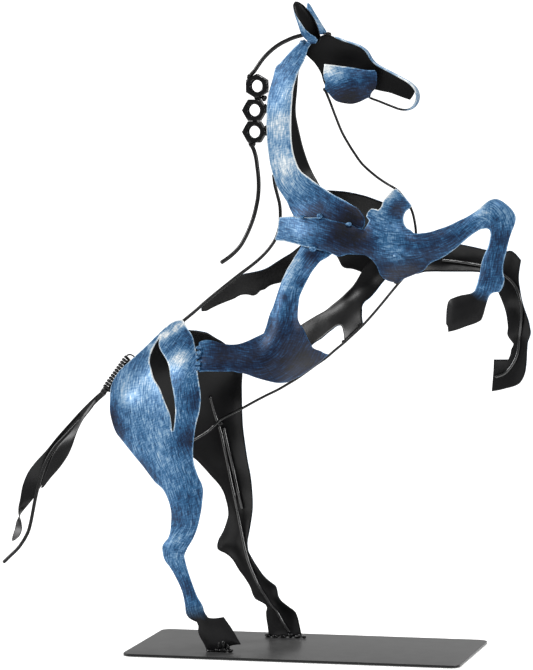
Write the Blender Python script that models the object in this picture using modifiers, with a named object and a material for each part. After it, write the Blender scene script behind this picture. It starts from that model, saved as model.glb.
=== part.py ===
"""Rearing horse of welded sheet steel and bent rod, standing by its hind hooves on a flat base plate.

X runs the way the horse faces, +Y to its left side, +Z up; the origin is the middle of the plate's underside.
Every sheet piece is cut to a side-view outline (x, z in mm, chosen by hand) and bowed in depth by a smooth field
through a few hand-chosen (x, z, y) points. Names say left or right from the horse's own point of view.
"""

import math

import bpy
import numpy as np
from mathutils.geometry import delaunay_2d_cdt

MM = 0.001
SHEET_T = 1.0  # thickness of every cut sheet
GAP = 0.3  # clearance kept between neighbouring pieces
PLATE_X, PLATE_Y, PLATE_T, PLATE_R = 260.0, 130.0, 2.0, 8.0
GRID = 11.0  # spacing of the inner points of a bowed sheet
ROD_D, THIN_ROD_D, LEG_ROD_D = 3.2, 2.0, 2.6
SPINE_ROD_D, TAIL_ROD_D = 2.6, 2.8
NUT_AF, NUT_BORE, NUT_H = 16.2, 9.2, 8.0
SPRING_R, SPRING_WIRE_D, SPRING_TURNS = 2.9, 1.7, 10.5
EAR_T = 0.8
FLOOR = PLATE_T + GAP + 0.1  # where a hoof's lower edge stands
HEAD_Y = 5.6  # middle of the head's far sheet, just outside the strip's edge

RIGHT_HAUNCH = [
    (-100.5, 251.3), (-97, 251.3), (-94.5, 249.5), (-90.8, 245.3), (-87.5, 242.7), (-84.6, 239.2), (-82.8, 235.8),
    (-81.2, 232.9), (-79, 228), (-77.8, 223.7), (-76.5, 216.8), (-75, 208), (-73.8, 200.7), (-73.4, 195.3),
    (-73.7, 190), (-74.6, 183.7), (-75.9, 179.2), (-77, 174.7), (-78.4, 165.5), (-79.2, 155.4), (-79.2, 150.4),
    (-78.4, 145.3), (-77, 140.4), (-75.2, 135.3), (-72.6, 129.5), (-71.8, 125.2), (-72, 119.6), (-72.4, 114),
    (-74, 104.6), (-76.6, 95.3), (-80.3, 87), (-84.8, 79.4), (-86.6, 74.6), (-86, 71), (-83.8, 62.8), (-80.2, 52.9),
    (-76.6, 44), (-72, 36.1), (-71, 32.5), (-68, 28.1), (-65.6, 27.7), (-61, 28), (-55.8, 28.9), (-50, 20.8),
    (-42.5, 8.3), (-50, 7), (-54, 5), (-57.5, FLOOR), (-68.8, FLOOR), (-70.4, 6.2), (-75.8, 17.8), (-75.6, 21.3),
    (-77, 24.4), (-79.9, 25.5), (-82.8, 27.1), (-84.7, 29.4), (-86.1, 37), (-88.5, 47.2), (-92.7, 56.3),
    (-97.6, 65), (-102, 71), (-103.4, 74.7), (-104, 78.3), (-104, 81.6), (-102.8, 84), (-100, 87), (-98.6, 89.8),
    (-97.2, 98.2), (-97, 109.3), (-99.5, 118), (-103.8, 125.5), (-109.8, 130), (-114.7, 135.2), (-120, 141),
    (-128.4, 149), (-136.8, 157.1), (-141, 161), (-145.2, 164.9), (-147.9, 169.4), (-150, 174.4), (-151.8, 179.7),
    (-152.6, 189.3), (-152.8, 199.1), (-149.5, 207.3), (-146.8, 211.3), (-138.9, 218.8), (-130.3, 226.5),
    (-121.6, 234.9), (-112.8, 243.7), (-107.5, 248), (-104.7, 250),
]
RIGHT_SLIT = [
    (-112.8, 240.2), (-116.2, 234.6), (-118.1, 229.5), (-119, 224.5), (-118.6, 220.4), (-116.4, 216.2),
    (-112.7, 208.3), (-107, 201.7), (-102.9, 194), (-99.3, 187.4), (-97.2, 183.2), (-96, 177.8), (-95, 170.3),
    (-93.8, 170.6), (-93, 177.9), (-92.6, 184.2), (-93.2, 191), (-94.9, 199.2), (-96.4, 204.9), (-98.3, 211),
    (-100.6, 218.6), (-103.3, 222.8), (-106.9, 226.4), (-110.2, 229.4), (-113, 233.2), (-113.8, 236.3),
]
RIGHT_HAUNCH_DEPTH = [
    (-97, 251, -2.6), (-108, 247.5, -3), (-118, 239, -3.4), (-128, 229.5, -3.8), (-138, 220, -5), (-147, 209, -6.5),
    (-152, 196, -9), (-152, 182, -13), (-147, 168, -19), (-137, 157, -26), (-124, 145, -33), (-111, 132, -38.5),
    (-100, 240, -14), (-118, 225, -18), (-130, 210, -20), (-138, 193, -25), (-125, 190, -33), (-112, 175, -39),
    (-112, 205, -31), (-100, 200, -38), (-90, 215, -38), (-84, 237, -23), (-76, 215, -41), (-74, 200, -42),
    (-90, 180, -44), (-100, 160, -44), (-85, 150, -45), (-79, 170, -43.5), (-79, 150, -43), (-85, 110, -45),
    (-97, 110, -41.5), (-73, 122, -42), (-97, 98, -41), (-76, 97, -42), (-104, 80, -40.5), (-94, 78, -43.5),
    (-86, 76, -41), (-93, 57, -40.5), (-81, 57, -41), (-86, 35, -41.5), (-72, 36, -41.5), (-68, 3, -42),
    (-43, 8, -41), (-56, 28, -41.5),
]
LEFT_HAUNCH = [
    (-101, 246.5), (-96.5, 244), (-92.5, 243.2), (-89, 242.9), (-85.2, 242.1), (-81.3, 241), (-78.9, 239.1),
    (-76, 236.7), (-71.6, 233.2), (-67.8, 228), (-63.8, 221.8), (-60.9, 214), (-60, 207.5), (-60.5, 200),
    (-60.4, 187.2), (-60.4, 178), (-60, 167), (-58.1, 152.2), (-55.9, 137.2), (-54.4, 130.2), (-52.8, 119.2),
    (-52.2, 108.2), (-52.4, 103.6), (-53.7, 92.6), (-55.3, 82.4), (-56.4, 75), (-56.2, 71.8), (-55.6, 68.6),
    (-53.7, 65), (-48.6, 56.9), (-42.5, 48.8), (-36.5, 44), (-34.1, 42.3), (-32.5, 37.5), (-31.9, 34.3),
    (-30.5, 31.6), (-24.5, 26.4), (-18.4, 21.5), (-17.2, 18.8), (-15.2, 11.5), (-13.8, 5.6), (-13.2, FLOOR),
    (-39.4, FLOOR), (-40.2, 8.8), (-41.5, 18), (-41.6, 21.6), (-41, 24.8), (-42, 27), (-44.8, 28.7), (-50.4, 31.8),
    (-52, 34.4), (-54.1, 40.3), (-57.8, 46.6), (-63.5, 54.2), (-68.7, 61.8), (-71, 64), (-74.8, 66.6), (-78.6, 68.4),
    (-80.2, 69.9), (-80.5, 72.5), (-79.8, 76.2), (-75.8, 84.1), (-72.7, 92.9), (-71.9, 96.1), (-72, 100.3),
    (-74.1, 109.4), (-75.3, 113.1), (-79.4, 119.9), (-85.4, 126.6), (-91.7, 133.9), (-98.3, 140.6), (-104.5, 144.5),
    (-118, 147), (-135, 158), (-144, 171), (-147, 188), (-144, 204), (-134, 221), (-121, 234), (-108, 244.5),
]
LEFT_HAUNCH_DEPTH = [
    (-97, 248, 2.6), (-108, 244.5, 3), (-121, 234, 3.8), (-134, 221, 5), (-144, 204, 8), (-147, 188, 12),
    (-144, 171, 18), (-135, 158, 26), (-118, 148, 33), (-90, 236, 14), (-76, 236, 20), (-66, 225, 34),
    (-60, 210, 41), (-110, 215, 26), (-120, 195, 28), (-95, 195, 39), (-75, 205, 41), (-61, 187, 42),
    (-75, 170, 45), (-98, 160, 41), (-58, 152, 43), (-70, 130, 46), (-92, 134, 41.5), (-53, 112, 43),
    (-62, 100, 46), (-73, 98, 42.5), (-56, 76, 43.5), (-80, 71, 42), (-68, 73, 45.5), (-62, 54, 42.5),
    (-47, 55, 43.5), (-52, 36, 43), (-33, 38, 44), (-41, 20, 43), (-14, 6, 44.5), (-28, 12, 45.5), (-40, 4, 43),
]
RIGHT_FLANK = [
    (0, 311.5), (-3, 306.3), (-5.6, 302), (-8, 297.3), (-10.4, 293.3), (-12, 289.3), (-13.8, 284.6), (-15.4, 279),
    (-18.1, 269.2), (-19.7, 264.4), (-21.7, 260.3), (-25, 249.8), (-26.9, 244.9), (-30, 243.3), (-34.5, 241.2),
    (-38.9, 239), (-46.8, 236.3), (-52.6, 235.8), (-60, 236.5), (-68, 238.2), (-76.3, 237.8), (-78.6, 236.5),
    (-77.3, 230), (-76.2, 222), (-75, 215.3), (-71, 215.9), (-62.3, 216), (-53.3, 216.1), (-48.1, 216.3),
    (-44.9, 215.5), (-40, 214.8), (-30.9, 211.6), (-25.9, 209.9), (-21.6, 208.4), (-17.7, 207.2), (-13.7, 206.8),
    (-11, 207), (-8.2, 208.4), (-3.6, 210.9), (1.3, 214.2), (6, 217.8), (10.9, 221.6), (14.7, 225), (17.4, 227.4),
    (15.1, 228.5), (13, 230.6), (10.4, 231.9), (8.4, 233.8), (7.7, 237.2), (6.4, 241), (3.8, 249), (0.9, 253.9),
    (0.1, 256.4), (-0.1, 260.3), (0.6, 269.2), (1.2, 273.3), (2.7, 277.3), (6.3, 285.3), (10, 292.7), (12.3, 296),
    (14.8, 299.2), (19.6, 302), (24.6, 305.5), (22, 309.5), (11, 312.5),
]
RIGHT_FLANK_DEPTH = [
    (-79, 236.5, -26.5), (-76.5, 225, -35.5), (-75, 215, -41), (-58, 225, -38), (-55, 216, -41), (-40, 214, -41),
    (-22, 208, -33), (-13, 207, -23), (-3.6, 211, -9), (6, 218, -3.6), (17, 227, -3), (-28, 222, -39),
    (-10, 222, -31), (3, 226, -18), (-30, 243, -30), (-8, 243, -38), (6, 242, -28), (-20, 264, -32), (-9, 265, -36),
    (0, 263, -33), (-13, 286, -27), (8, 288, -29), (0, 308, -19.6), (12, 303, -22), (24, 306, -23.4), (11, 312, -21),
]
LEFT_BACK_RIB = [
    (-5.4, 310.2), (-10.2, 306.7), (-14.3, 303.5), (-18, 301.3), (-25.8, 296.5), (-29.6, 294), (-33.4, 291.8),
    (-41, 288.4), (-44.6, 287), (-50.2, 286), (-55.4, 282.4), (-63.5, 276.6), (-71.5, 270.4), (-79.4, 263.4),
    (-82.9, 260), (-83.6, 258.2), (-80.5, 258.3), (-76.9, 260.2), (-71.5, 262.9), (-65.6, 265.4), (-59.7, 267.8),
    (-54.7, 270.5), (-50, 270.9), (-45.3, 270), (-42.6, 271.2), (-40.2, 273.7), (-36.4, 275.1), (-33.4, 277.4),
    (-30, 278.9), (-25.9, 279.9), (-15, 284), (-5, 290), (5.3, 296.6), (12.8, 301.4), (14.5, 305), (4, 311),
]
LEFT_BACK_RIB_DEPTH = [
    (-83, 259.5, 2.9), (-71.5, 270.4, 3.4), (-55, 282.5, 4), (-41, 288.4, 5.5), (-14, 303.5, 6.6), (-5, 310, 6.6),
    (-76, 260.5, 7), (-59.7, 267.8, 12), (-45, 270.5, 16), (-30, 279, 17), (-10, 287, 17), (5, 296.5, 15.5),
    (13, 302, 13.5), (5, 309, 9.2),
]
LEFT_BELLY_BAND = [
    (44.4, 297.6), (40, 292.2), (37, 287.4), (34.6, 283.2), (31, 278), (26.9, 273.8), (21.1, 268.3), (15.1, 263.5),
    (9.2, 258.8), (3.2, 255.5), (-4, 251.4), (-14, 245.2), (-25, 237.6), (-38, 232), (-50, 229), (-64.6, 226.5),
    (-62.2, 221.5), (-59.3, 214.5), (-58.6, 210.5), (-45, 210), (-30, 213.8), (-15, 221.6), (-2.1, 230.9),
    (2.4, 234.4), (8.4, 238.1), (13, 242), (17.6, 245.4), (22, 248.4), (24.2, 248.8), (25.6, 248), (27, 245.2),
    (28.1, 242), (28.2, 238.9), (29.6, 240.4), (33, 243.7), (38, 248.3), (42.2, 252.3), (42, 256), (41.6, 260),
    (41.2, 264), (42.4, 266.5), (46, 269.5), (50.7, 274.8), (54.5, 280.2), (57.5, 284), (58.5, 291), (54, 299),
]
LEFT_BELLY_BAND_DEPTH = [
    (44, 298, 20.5), (52, 297, 22.5), (57.5, 285, 16), (36, 287, 20), (46, 281, 21), (50.5, 275, 13), (26, 275, 20),
    (32, 269, 21), (38.5, 265, 10), (14, 264, 22), (2, 256, 26), (18, 257, 21), (23, 249, 8), (28.5, 241, 2.9),
    (41, 252, 2.9), (39, 258, 6), (-14, 246, 33), (2, 245, 24), (3, 235, 16), (-15, 222, 31), (-38, 232, 36),
    (-45, 210, 37), (-64, 226, 33), (-59, 211, 39),
]
RIGHT_SHOULDER = [
    (-20.5, 331.5), (-14.7, 332.2), (-8.1, 332.5), (-0.6, 332.3), (6.7, 332.3), (12, 332.5), (18.5, 332),
    (23.6, 330.8), (30.6, 329.5), (35.8, 328.4), (40.2, 327.3), (43.7, 325.7), (47.2, 324.8), (50.1, 324.6),
    (51.8, 327.5), (53.5, 330.7), (50.9, 333.7), (51.2, 335.6), (52.5, 338.3), (54, 339.5), (56.8, 339.3),
    (59, 338.7), (60.3, 339.8), (61.7, 344.8), (63.5, 348), (65.5, 350.9), (67.5, 353.4), (70.3, 354), (73, 351.4),
    (76.5, 348.2), (80.2, 345), (83.3, 341.9), (82, 339.7), (80.1, 338.3), (79.1, 335.5), (79.4, 332), (80.4, 328.9),
    (82.6, 325.8), (85.5, 324.3), (88.2, 322), (91.2, 321.8), (94.8, 322.2), (100.8, 323.2), (108.6, 325.8),
    (113.6, 327.5), (118.6, 329.8), (123.6, 332.3), (128.7, 334.7), (135.3, 338.8), (141, 343.5), (144.2, 346.1),
    (146.7, 347.7), (149.6, 348.6), (152.6, 348.5), (155.9, 347.1), (159.1, 344.8), (163.8, 340.1), (166.1, 335.6),
    (165.1, 329.1), (163.5, 325.1), (161.1, 317.9), (159.2, 309.2), (157.5, 302), (156.9, 298), (157, 294),
    (157.8, 290), (156.9, 283.5), (155.3, 280.6), (154.1, 279.3), (151.2, 279), (148.7, 278.3), (147, 276.6),
    (145.8, 274.2), (143.9, 268.2), (141.6, 260.4), (140.7, 258.3), (138.3, 256.6), (130, 253.4), (120.8, 250),
    (115.6, 248.7), (114.8, 253.4), (113.8, 254.6), (113.8, 258.7), (114.5, 267.6), (115.3, 270.8), (116.6, 272.9),
    (120, 274.6), (125, 276.4), (130.1, 277.4), (133.4, 278.3), (135.5, 280), (136.6, 282.8), (138.9, 291.3),
    (140.9, 301.6), (143.7, 309), (145.3, 312.1), (146.5, 317), (147.2, 323.9), (146.6, 325.6), (145, 326.5),
    (142.4, 326.4), (139.8, 325.8), (135.5, 323.3), (130.5, 319.6), (126.7, 316.4), (119.4, 310.3), (109.8, 304),
    (99.7, 299.1), (94.3, 293.8), (85.2, 289.8), (76, 286), (71, 283.1), (68, 283.5), (64.5, 284.8), (61.7, 287.3),
    (60.2, 290.3), (58.8, 297.2), (57, 300.4), (54.8, 302.8), (50.4, 305.2), (46.8, 305.3), (35.7, 305), (31.3, 303.7),
    (27.6, 304.1), (25, 305.4), (22, 306.5), (15.1, 308), (9.1, 309.3), (0.3, 310.8), (-8.4, 312.5), (-14.3, 313.4),
    (-23, 313.7), (-24.2, 315), (-22.6, 318.6), (-21.6, 323.4), (-21.2, 328.5),
]
RIGHT_SHOULDER_DEPTH = [
    (-22, 330, -3.4), (-24, 315, -3.6), (-12, 322, -11), (0, 330, -16.4), (0, 311, -21), (12, 332, -20),
    (25, 329, -24), (25, 306, -26), (48, 325, -27.5), (48, 306, -29.5), (52, 337, -24), (60, 322, -31),
    (60, 340, -20), (69, 354, -4), (76, 347, -8), (82, 341, -14), (70, 333, -25), (80, 332, -26), (72, 316, -31.5),
    (60, 300, -28), (63, 288, -15), (71, 284, -4), (82, 289, -11), (72, 300, -24.5), (95, 296, -23), (88, 322, -29),
    (90, 308, -32), (110, 304, -30), (110, 326, -32), (120, 318, -34.5), (145, 335, -37), (150, 348, -34.5),
    (165, 337, -34.5), (128, 318, -34), (147, 324, -35.5), (150, 305, -37), (159, 308, -34.5), (140, 296, -35),
    (147, 285, -36), (157, 285, -35), (130, 265, -36), (115, 250, -35), (140, 258, -35), (116, 273, -35),
]
LEFT_SHOULDER = [
    (0, 347.5), (-6, 341), (-9, 333.5), (-17, 329), (-18, 317), (-8, 315), (3, 311.5), (12, 306), (18.5, 300.3),
    (19.9, 297.4), (22, 293.2), (23.6, 291.9), (29.7, 291), (35, 289.4), (38, 288.2), (46, 287), (58, 288),
    (66, 288.2), (75, 287.8), (80.8, 287.9), (85, 289.1), (90.9, 289.5), (100.8, 289.5), (112.3, 289.6),
    (123.3, 289.6), (127.6, 289.3), (134, 287), (138.6, 281), (141.8, 273.9), (143.7, 269.7), (145.4, 265.2),
    (147.1, 259.5), (148.2, 253.9), (149, 247.2), (148.8, 241.5), (149.9, 239.2), (153.1, 234.9), (152.6, 233),
    (151.2, 230.1), (150.9, 227.3), (149.2, 222.9), (138.3, 222.8), (138, 215.4), (137.5, 208.6), (136.8, 198.2),
    (142.8, 199.3), (148.3, 200.8), (153.8, 202.4), (158.2, 204.7), (161, 208.7), (162.7, 213.2), (163.5, 218.9),
    (164, 231.4), (164.6, 237), (166, 240.4), (166.8, 243.2), (166.2, 248.3), (165.3, 252.8), (163.3, 258.4),
    (161.4, 264), (159.8, 269.6), (158.5, 276.4), (157.5, 282), (157.3, 287), (157.7, 290.8), (159.2, 298.9),
    (157, 301.6), (154.2, 304.5), (151.5, 306.2), (149.3, 306), (147.1, 305.2), (138, 305.6), (131.7, 306.8),
    (120.6, 309.2), (112.4, 310.8), (100, 312.5), (88, 314.3), (77, 316.5), (69.6, 321), (66.4, 330), (62, 339),
    (55, 342.7),
    (48.6, 345), (43, 347), (35.4, 349), (28, 350.5), (19, 351.4), (11.6, 351.6), (5, 350.3),
]
LEFT_SHOULDER_DEPTH = [
    (-16, 328, 4.5), (-17, 318, 4.5), (-6, 340, 8), (0, 325, 14), (5, 350, 10), (20, 351, 14), (20, 330, 20),
    (12, 306, 18.5), (21, 296, 24), (38, 348, 18), (55, 343, 19), (45, 320, 28), (36, 290, 25.5), (50, 290, 26),
    (62, 338, 18), (67, 325, 25), (65, 310, 30), (66, 289, 26), (88, 318, 24), (85, 302, 32), (85, 290, 29), (110, 311, 31),
    (110, 300, 35), (112, 290, 32), (138, 305, 33), (130, 297, 36), (128, 290, 33.5), (150, 306, 34), (159, 298, 34.5),
    (149, 290, 37), (145, 266, 34.5), (161, 264, 34.5), (153, 262, 37.5), (149, 243, 35), (166, 243, 35.5),
    (158, 240, 38), (163, 215, 35), (138, 222, 35), (137, 199, 35), (152, 212, 37), (158, 205, 35),
]
RIGHT_NECK = [
    (-1.6, 466.6), (4, 462.6), (1.6, 458.6), (0.6, 454.6), (-2, 448), (-3.8, 444.6), (-5.3, 440.7), (-6.6, 436.7),
    (-8, 431.5), (-9.2, 419.4), (-9.8, 403.2), (-9.8, 395.2), (-9.2, 387.3), (-8.1, 381.3), (-6.5, 376.2),
    (-3.3, 369.1), (-1.2, 366.5), (2, 364.1), (6.2, 361.2), (14.7, 355.4), (19, 353.1), (23.8, 350.1), (34.4, 345),
    (39.6, 342), (44, 339.6), (46.5, 336.8), (48.6, 334), (49.5, 331.8), (49.7, 327.5), (46, 322), (30, 323),
    (10, 325), (-6, 326.5), (-8.4, 332.7), (-11.9, 338), (-14, 342.4), (-18.6, 348.9), (-20.9, 352), (-23.2, 356.1),
    (-24.9, 361.2), (-28, 371.4), (-29.1, 377.5), (-30, 383.7), (-31, 396.9), (-31, 405), (-30.4, 419),
    (-29.7, 424), (-27.5, 432.2), (-25.3, 440.2), (-24.4, 444.3), (-23.4, 446.3), (-21.1, 447.9), (-18.3, 450.9),
    (-15.1, 454.3), (-11.7, 457.9), (-5, 464),
]
RIGHT_NECK_DEPTH = [
    (-4, 465, -3.4), (3, 462, -5.5), (-18, 451, -2.6), (-29, 425, -2.6), (-31, 400, -2.6), (-29, 377, -2.6),
    (-21, 352, -3), (-12, 338, -6), (0.6, 454.6, -6.5), (-7, 435, -10), (-10, 400, -12), (-7, 378, -13), (2, 364, -15),
    (-20, 410, -8.5), (-14, 360, -9), (20, 352.5, -19), (40, 342, -22), (50, 331, -24.5), (0, 330, -14.6),
    (12, 332, -18.2), (25, 329, -22.2), (46, 323, -25.7), (46, 336, -23.5), (10, 345, -15.5), (-6, 327, -12),
    (10, 325, -18),
]
LEFT_NECK = [
    (-6, 462), (-2.4, 458), (-2.4, 454.6), (-7.6, 443.2), (-10, 427.3), (-11.2, 409.8), (-8.8, 397), (-4.7, 380.9),
    (-0.4, 369.3), (5.7, 359), (9.9, 352.8), (18, 346), (25, 340), (24, 333), (8, 331), (-7, 334.5), (-15, 346),
    (-20.5, 355), (-26, 375), (-28.5, 395), (-28.3, 410), (-26, 428), (-19, 446.5), (-11, 457),
]
LEFT_NECK_DEPTH = [
    (-6, 461, 3.2), (-19, 446, 2.8), (-26, 428, 2.8), (-28.5, 400, 2.8), (-26, 375, 2.8), (-20, 355, 3),
    (-8, 335, 4.5), (-2.4, 456, 4), (-9, 435, 9), (-11, 410, 11.5), (-8.8, 397, 12), (-4.7, 381, 12.5),
    (0, 369, 12.8), (9.9, 352.8, 8.6), (-19, 405, 7.5), (8, 332, 11.5), (24, 334, 17.5), (18, 346, 13),
]
HEAD_PLATE = [
    (-3, 455.4), (0.2, 452.3), (3.7, 448.9), (6.8, 444.7), (9.5, 439.8), (11, 434.9), (12.4, 431.8), (20, 428.5),
    (35, 427.5), (49.9, 428.7), (55.9, 427.4), (63, 426), (66.8, 424.7), (74.6, 422), (78.4, 420.9), (80.9, 424.5),
    (82.2, 428), (81.6, 431), (78.6, 433.8), (73.8, 436.4), (67.6, 439.7), (62.2, 442.5), (56.8, 445.2), (53.2, 447.3),
    (50.7, 449.6), (49, 451.7), (47.5, 454.4), (45.2, 457.6), (42.8, 459.7), (39.7, 461.4), (35, 463.1), (30.2, 464.6),
    (21.4, 467.8), (15.4, 469.8), (10.7, 469.6), (6.5, 467), (0.4, 462.2), (-1.3, 459.1),
]
HEAD_PLATE_DEPTH = [
    (-3, 455.4, HEAD_Y + 0.6), (12, 432, HEAD_Y), (35, 428, HEAD_Y), (78, 421, HEAD_Y), (81, 428, HEAD_Y),
    (64, 433, HEAD_Y + 2), (30, 447, HEAD_Y + 3.5), (50, 447, HEAD_Y), (40, 459, HEAD_Y), (15, 469, HEAD_Y),
    (12, 452, HEAD_Y + 2.5),
]
CHEEK_PLATE = [
    (15.4, 448), (20, 447.6), (27.7, 446.6), (35.4, 445.7), (43.1, 444.4), (50.1, 443.5), (54, 443.5), (55.5, 441.5),
    (55.7, 437), (55.5, 433.2), (54.4, 429.8), (52.4, 427.6), (50.9, 425.3), (50.4, 423.4), (47, 421.9), (43.9, 420.3),
    (40.1, 418.8), (36.2, 418), (31.6, 418.3), (27.7, 419), (23.8, 420.4), (21.5, 422.3), (19.2, 425), (16.9, 427.6),
    (15.4, 429.5), (15.6, 432.1), (16.4, 434.2), (15, 436.7), (14.5, 441.2), (14.9, 445),
]
CHEEK_PLATE_DEPTH = [
    (15.4, 448, -9.5), (35, 445.6, -11.5), (55, 443, -9.5), (55.5, 433, -8.5), (50.5, 424, -7.6), (36, 418, -8),
    (21, 422, -8), (15, 430, -8), (14.6, 441, -8.6), (35, 432, -14.5), (24, 436, -12.5), (46, 434, -13),
]
# The strip round the head, as (x, z, half its width): poll, forehead, nose, chin and back to the cheek.
MUZZLE_PATH = [
    (21.4, 468.2, 3.4), (30.4, 464.9, 3.4), (35.4, 463.4, 3.5), (40, 461.7, 3.6), (43.2, 459.9, 3.6), (45.6, 457.9, 3.6),
    (47.9, 454.7, 3.6), (49.4, 452, 3.6), (51.2, 449.8, 3.6), (53.6, 447.6, 3.6), (57.2, 445.5, 3.6), (62.6, 442.8, 3.6),
    (68, 440, 3.8), (74.2, 436.7, 4), (79, 434, 4.2), (82.1, 431.4, 4.4), (84.4, 428.1, 4.6), (85.4, 424.5, 4.6),
    (85.1, 420.9, 4.4), (83.3, 417.2, 4), (80.7, 414.8, 3.2), (76.7, 413.6, 2.6), (71.7, 414, 2.3), (66.1, 415.9, 2),
    (60, 418.2, 1.8), (54.3, 420.4, 1.6), (51, 421.5, 1.6),
]
# Each ear from tip to base, as (left x, left z, right x, right z, degrees that the cup wraps past its left edge).
RIGHT_EAR = [
    (-7.3, 495.1, -5.6, 495, 0), (-8.6, 493, -2.7, 493.3, 6), (-8.6, 490.1, 0.4, 490.5, 18), (-8, 486.7, 3.5, 487.1, 32),
    (-6.7, 482.6, 6.4, 483, 46), (-5.2, 478.5, 8.5, 478.9, 60), (-4, 474.7, 10.1, 474.7, 71),
    (-2.7, 471.3, 11.2, 470.6, 84), (-0.4, 467.9, 11.6, 467.2, 102), (2.4, 465.2, 10.7, 465, 125),
    (4, 463.4, 9, 463.4, 130),
]
LEFT_EAR = [
    (-1.8, 493.8, -0.9, 493.9, 0), (-2.1, 490.9, 1.2, 491.4, 0), (-2.3, 487.8, 3.5, 488.1, 5),
    (-1.6, 484.4, 5.8, 484.8, 10), (-0.5, 481, 8.2, 481.3, 20), (0.9, 477.6, 10.3, 478.1, 35),
    (2.5, 474.6, 12.4, 475, 60), (4.2, 471.9, 13.9, 472.1, 95), (6.4, 470, 12.6, 470.2, 125),
]
RIGHT_EAR_Y, LEFT_EAR_Y = -8.4, 9.2
# Twisted tail strips, as pairs of edge points (x, y, z).
TAIL_STRIP_BACK = [
    ((-161.9, 1.0, 196.0), (-159.2, 2.6, 192.8)), ((-168.9, 0.8, 189.8), (-166.1, 3.0, 186.8)),
    ((-180.0, 1.2, 179.0), (-176.8, 4.5, 175.4)), ((-188.4, 1.8, 170.0), (-184.4, 6.0, 165.0)),
    ((-198.5, 2.0, 158.9), (-191.0, 7.0, 153.5)), ((-208.0, 2.2, 147.4), (-199.5, 7.0, 141.0)),
    ((-216.5, 3.0, 138.5), (-206.5, 6.5, 130.0)), ((-223.0, 4.0, 130.0), (-211.5, 6.0, 121.5)),
    ((-227.3, 4.0, 119.5), (-215.5, 4.6, 114.5)), ((-229.0, 3.0, 109.4), (-219.5, 3.4, 108.5)),
    ((-229.6, 0.4, 103.0), (-225.2, 5.0, 102.2)), ((-229.0, -1.5, 98.5), (-228.4, 5.5, 98.5)),
    ((-227.0, -2.0, 91.5), (-231.5, 4.0, 92.0)), ((-226.2, -1.5, 85.7), (-232.7, 3.5, 86.0)),
    ((-227.9, 0.0, 81.0), (-234.1, 3.0, 80.2)), ((-231.6, 1.4, 77.8), (-233.9, 2.5, 77.2)),
]
TAIL_STRIP_FRONT = [
    ((-166.0, -2.4, 190.0), (-164.4, -3.4, 188.4)), ((-172.8, -3.2, 181.2), (-171.0, -4.6, 179.4)),
    ((-177.2, -3.4, 175.6), (-175.4, -5.4, 173.8)), ((-181.7, -3.4, 169.4), (-178.6, -6.4, 167.6)),
    ((-187.8, -3.4, 161.6), (-181.2, -7.0, 160.8)), ((-195.0, -3.4, 153.6), (-184.0, -6.5, 153.0)),
    ((-200.6, -3.4, 145.0), (-188.0, -5.5, 145.0)), ((-204.6, -3.2, 135.6), (-194.5, -4.8, 135.8)),
    ((-207.8, -3.0, 127.0), (-202.0, -3.8, 127.5)), ((-210.4, -2.8, 119.0), (-208.4, -3.0, 119.6)),
]
# Bent rods, as (x, y, z) along the middle.
TAIL_ROD = [
    (-178.2, -1, 173.6), (-186.4, -1, 165), (-192.8, -1, 158.4), (-199.2, -1, 151.6), (-204.6, -1, 143.6),
    (-208.6, -1, 135), (-211.3, -1, 127), (-213.6, -1, 118.5), (-215.6, -1, 110), (-217.4, -1, 101),
    (-219.2, -1, 92.1), (-221.5, -1, 84.2), (-225.4, -1, 77.1), (-230.2, -1, 70.7), (-236.6, -1, 64.6),
    (-241.7, -1, 59.6),
]
MANE_ROD_UPPER = [
    (-2.6, 0, 469.9), (-9.8, 0, 468), (-16.2, 0, 465.4), (-22.6, 0, 462), (-29.1, 0, 457), (-34.3, 0, 451.7),
    (-38.8, 0, 445.6), (-41, 0, 442.4),
]
MANE_ROD_LOWER = [
    (-43.0, 0, 386.0), (-41.3, 0, 381.6), (-40, 0, 377), (-38.9, 0, 369.4), (-38, 0, 361.8), (-37.8, 0, 354.2),
    (-38.3, 0, 346.6), (-39.7, 0, 339), (-41.7, 0, 331.3), (-44.5, 0, 323.6), (-48.4, 0, 315.3), (-52.3, 0, 308.8),
    (-57.5, 0, 303.2), (-62.7, 0, 299), (-67.7, 0, 295.7),
]
SPINE_ROD = [
    (-26.2, 0, 364), (-25.2, 0, 356), (-23.4, 0, 349), (-21.4, 0, 341), (-20.9, 0, 333), (-22, 0, 322), (-25, 0, 314),
    (-30.2, 0, 306.5), (-36.2, 0, 300.2), (-43.2, 0, 294.3), (-51.4, 0, 288.2), (-66.2, 0, 276.6), (-80.8, 0, 264.6),
    (-89.5, 0, 257), (-94.2, 0, 253.2),
]
BELLY_ROD = [
    (15.2, -5.4, 428), (17.2, -4.6, 423), (23.4, -3, 406.5), (27.4, -2, 396.5), (32, -1, 388), (37, 0, 380),
    (42.6, 0, 372.5), (48.6, 0, 367), (55, 0, 362), (64.2, 0, 356.3), (67.3, 0, 354.6), (70.4, 0, 352.4), (73.8, 0, 348.5),
    (76.9, 0, 344.7), (79.6, 0, 340.6), (81.7, 0, 335.7), (83, 0, 330.4), (84.2, 0, 322.1), (84, 0, 312), (80.8, 0, 298),
    (75.5, 0, 287.8), (70, 0, 281.1), (65, 0, 275.1), (59.3, 0, 268.1), (50.7, 0, 257.9), (43.4, 0, 249.9),
    (36.2, 0, 243.1), (29, 0, 236.5), (21.8, 0, 230.5), (14.4, 0, 224.2), (6.9, 0, 219), (-0.4, 0, 213.6), (-7.7, 0, 208.4), (-15, 0, 203.9), (-22.3, 0, 199.6),
    (-32.5, 0, 194.5), (-42.7, 0, 189), (-49.8, 0, 185), (-58.6, 0, 180.4), (-68, -2, 175), (-71.4, -8, 171.2),
    (-73.5, -18, 168.2), (-78, -30, 164.6), (-80.8, -41, 162.6),
]
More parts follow.
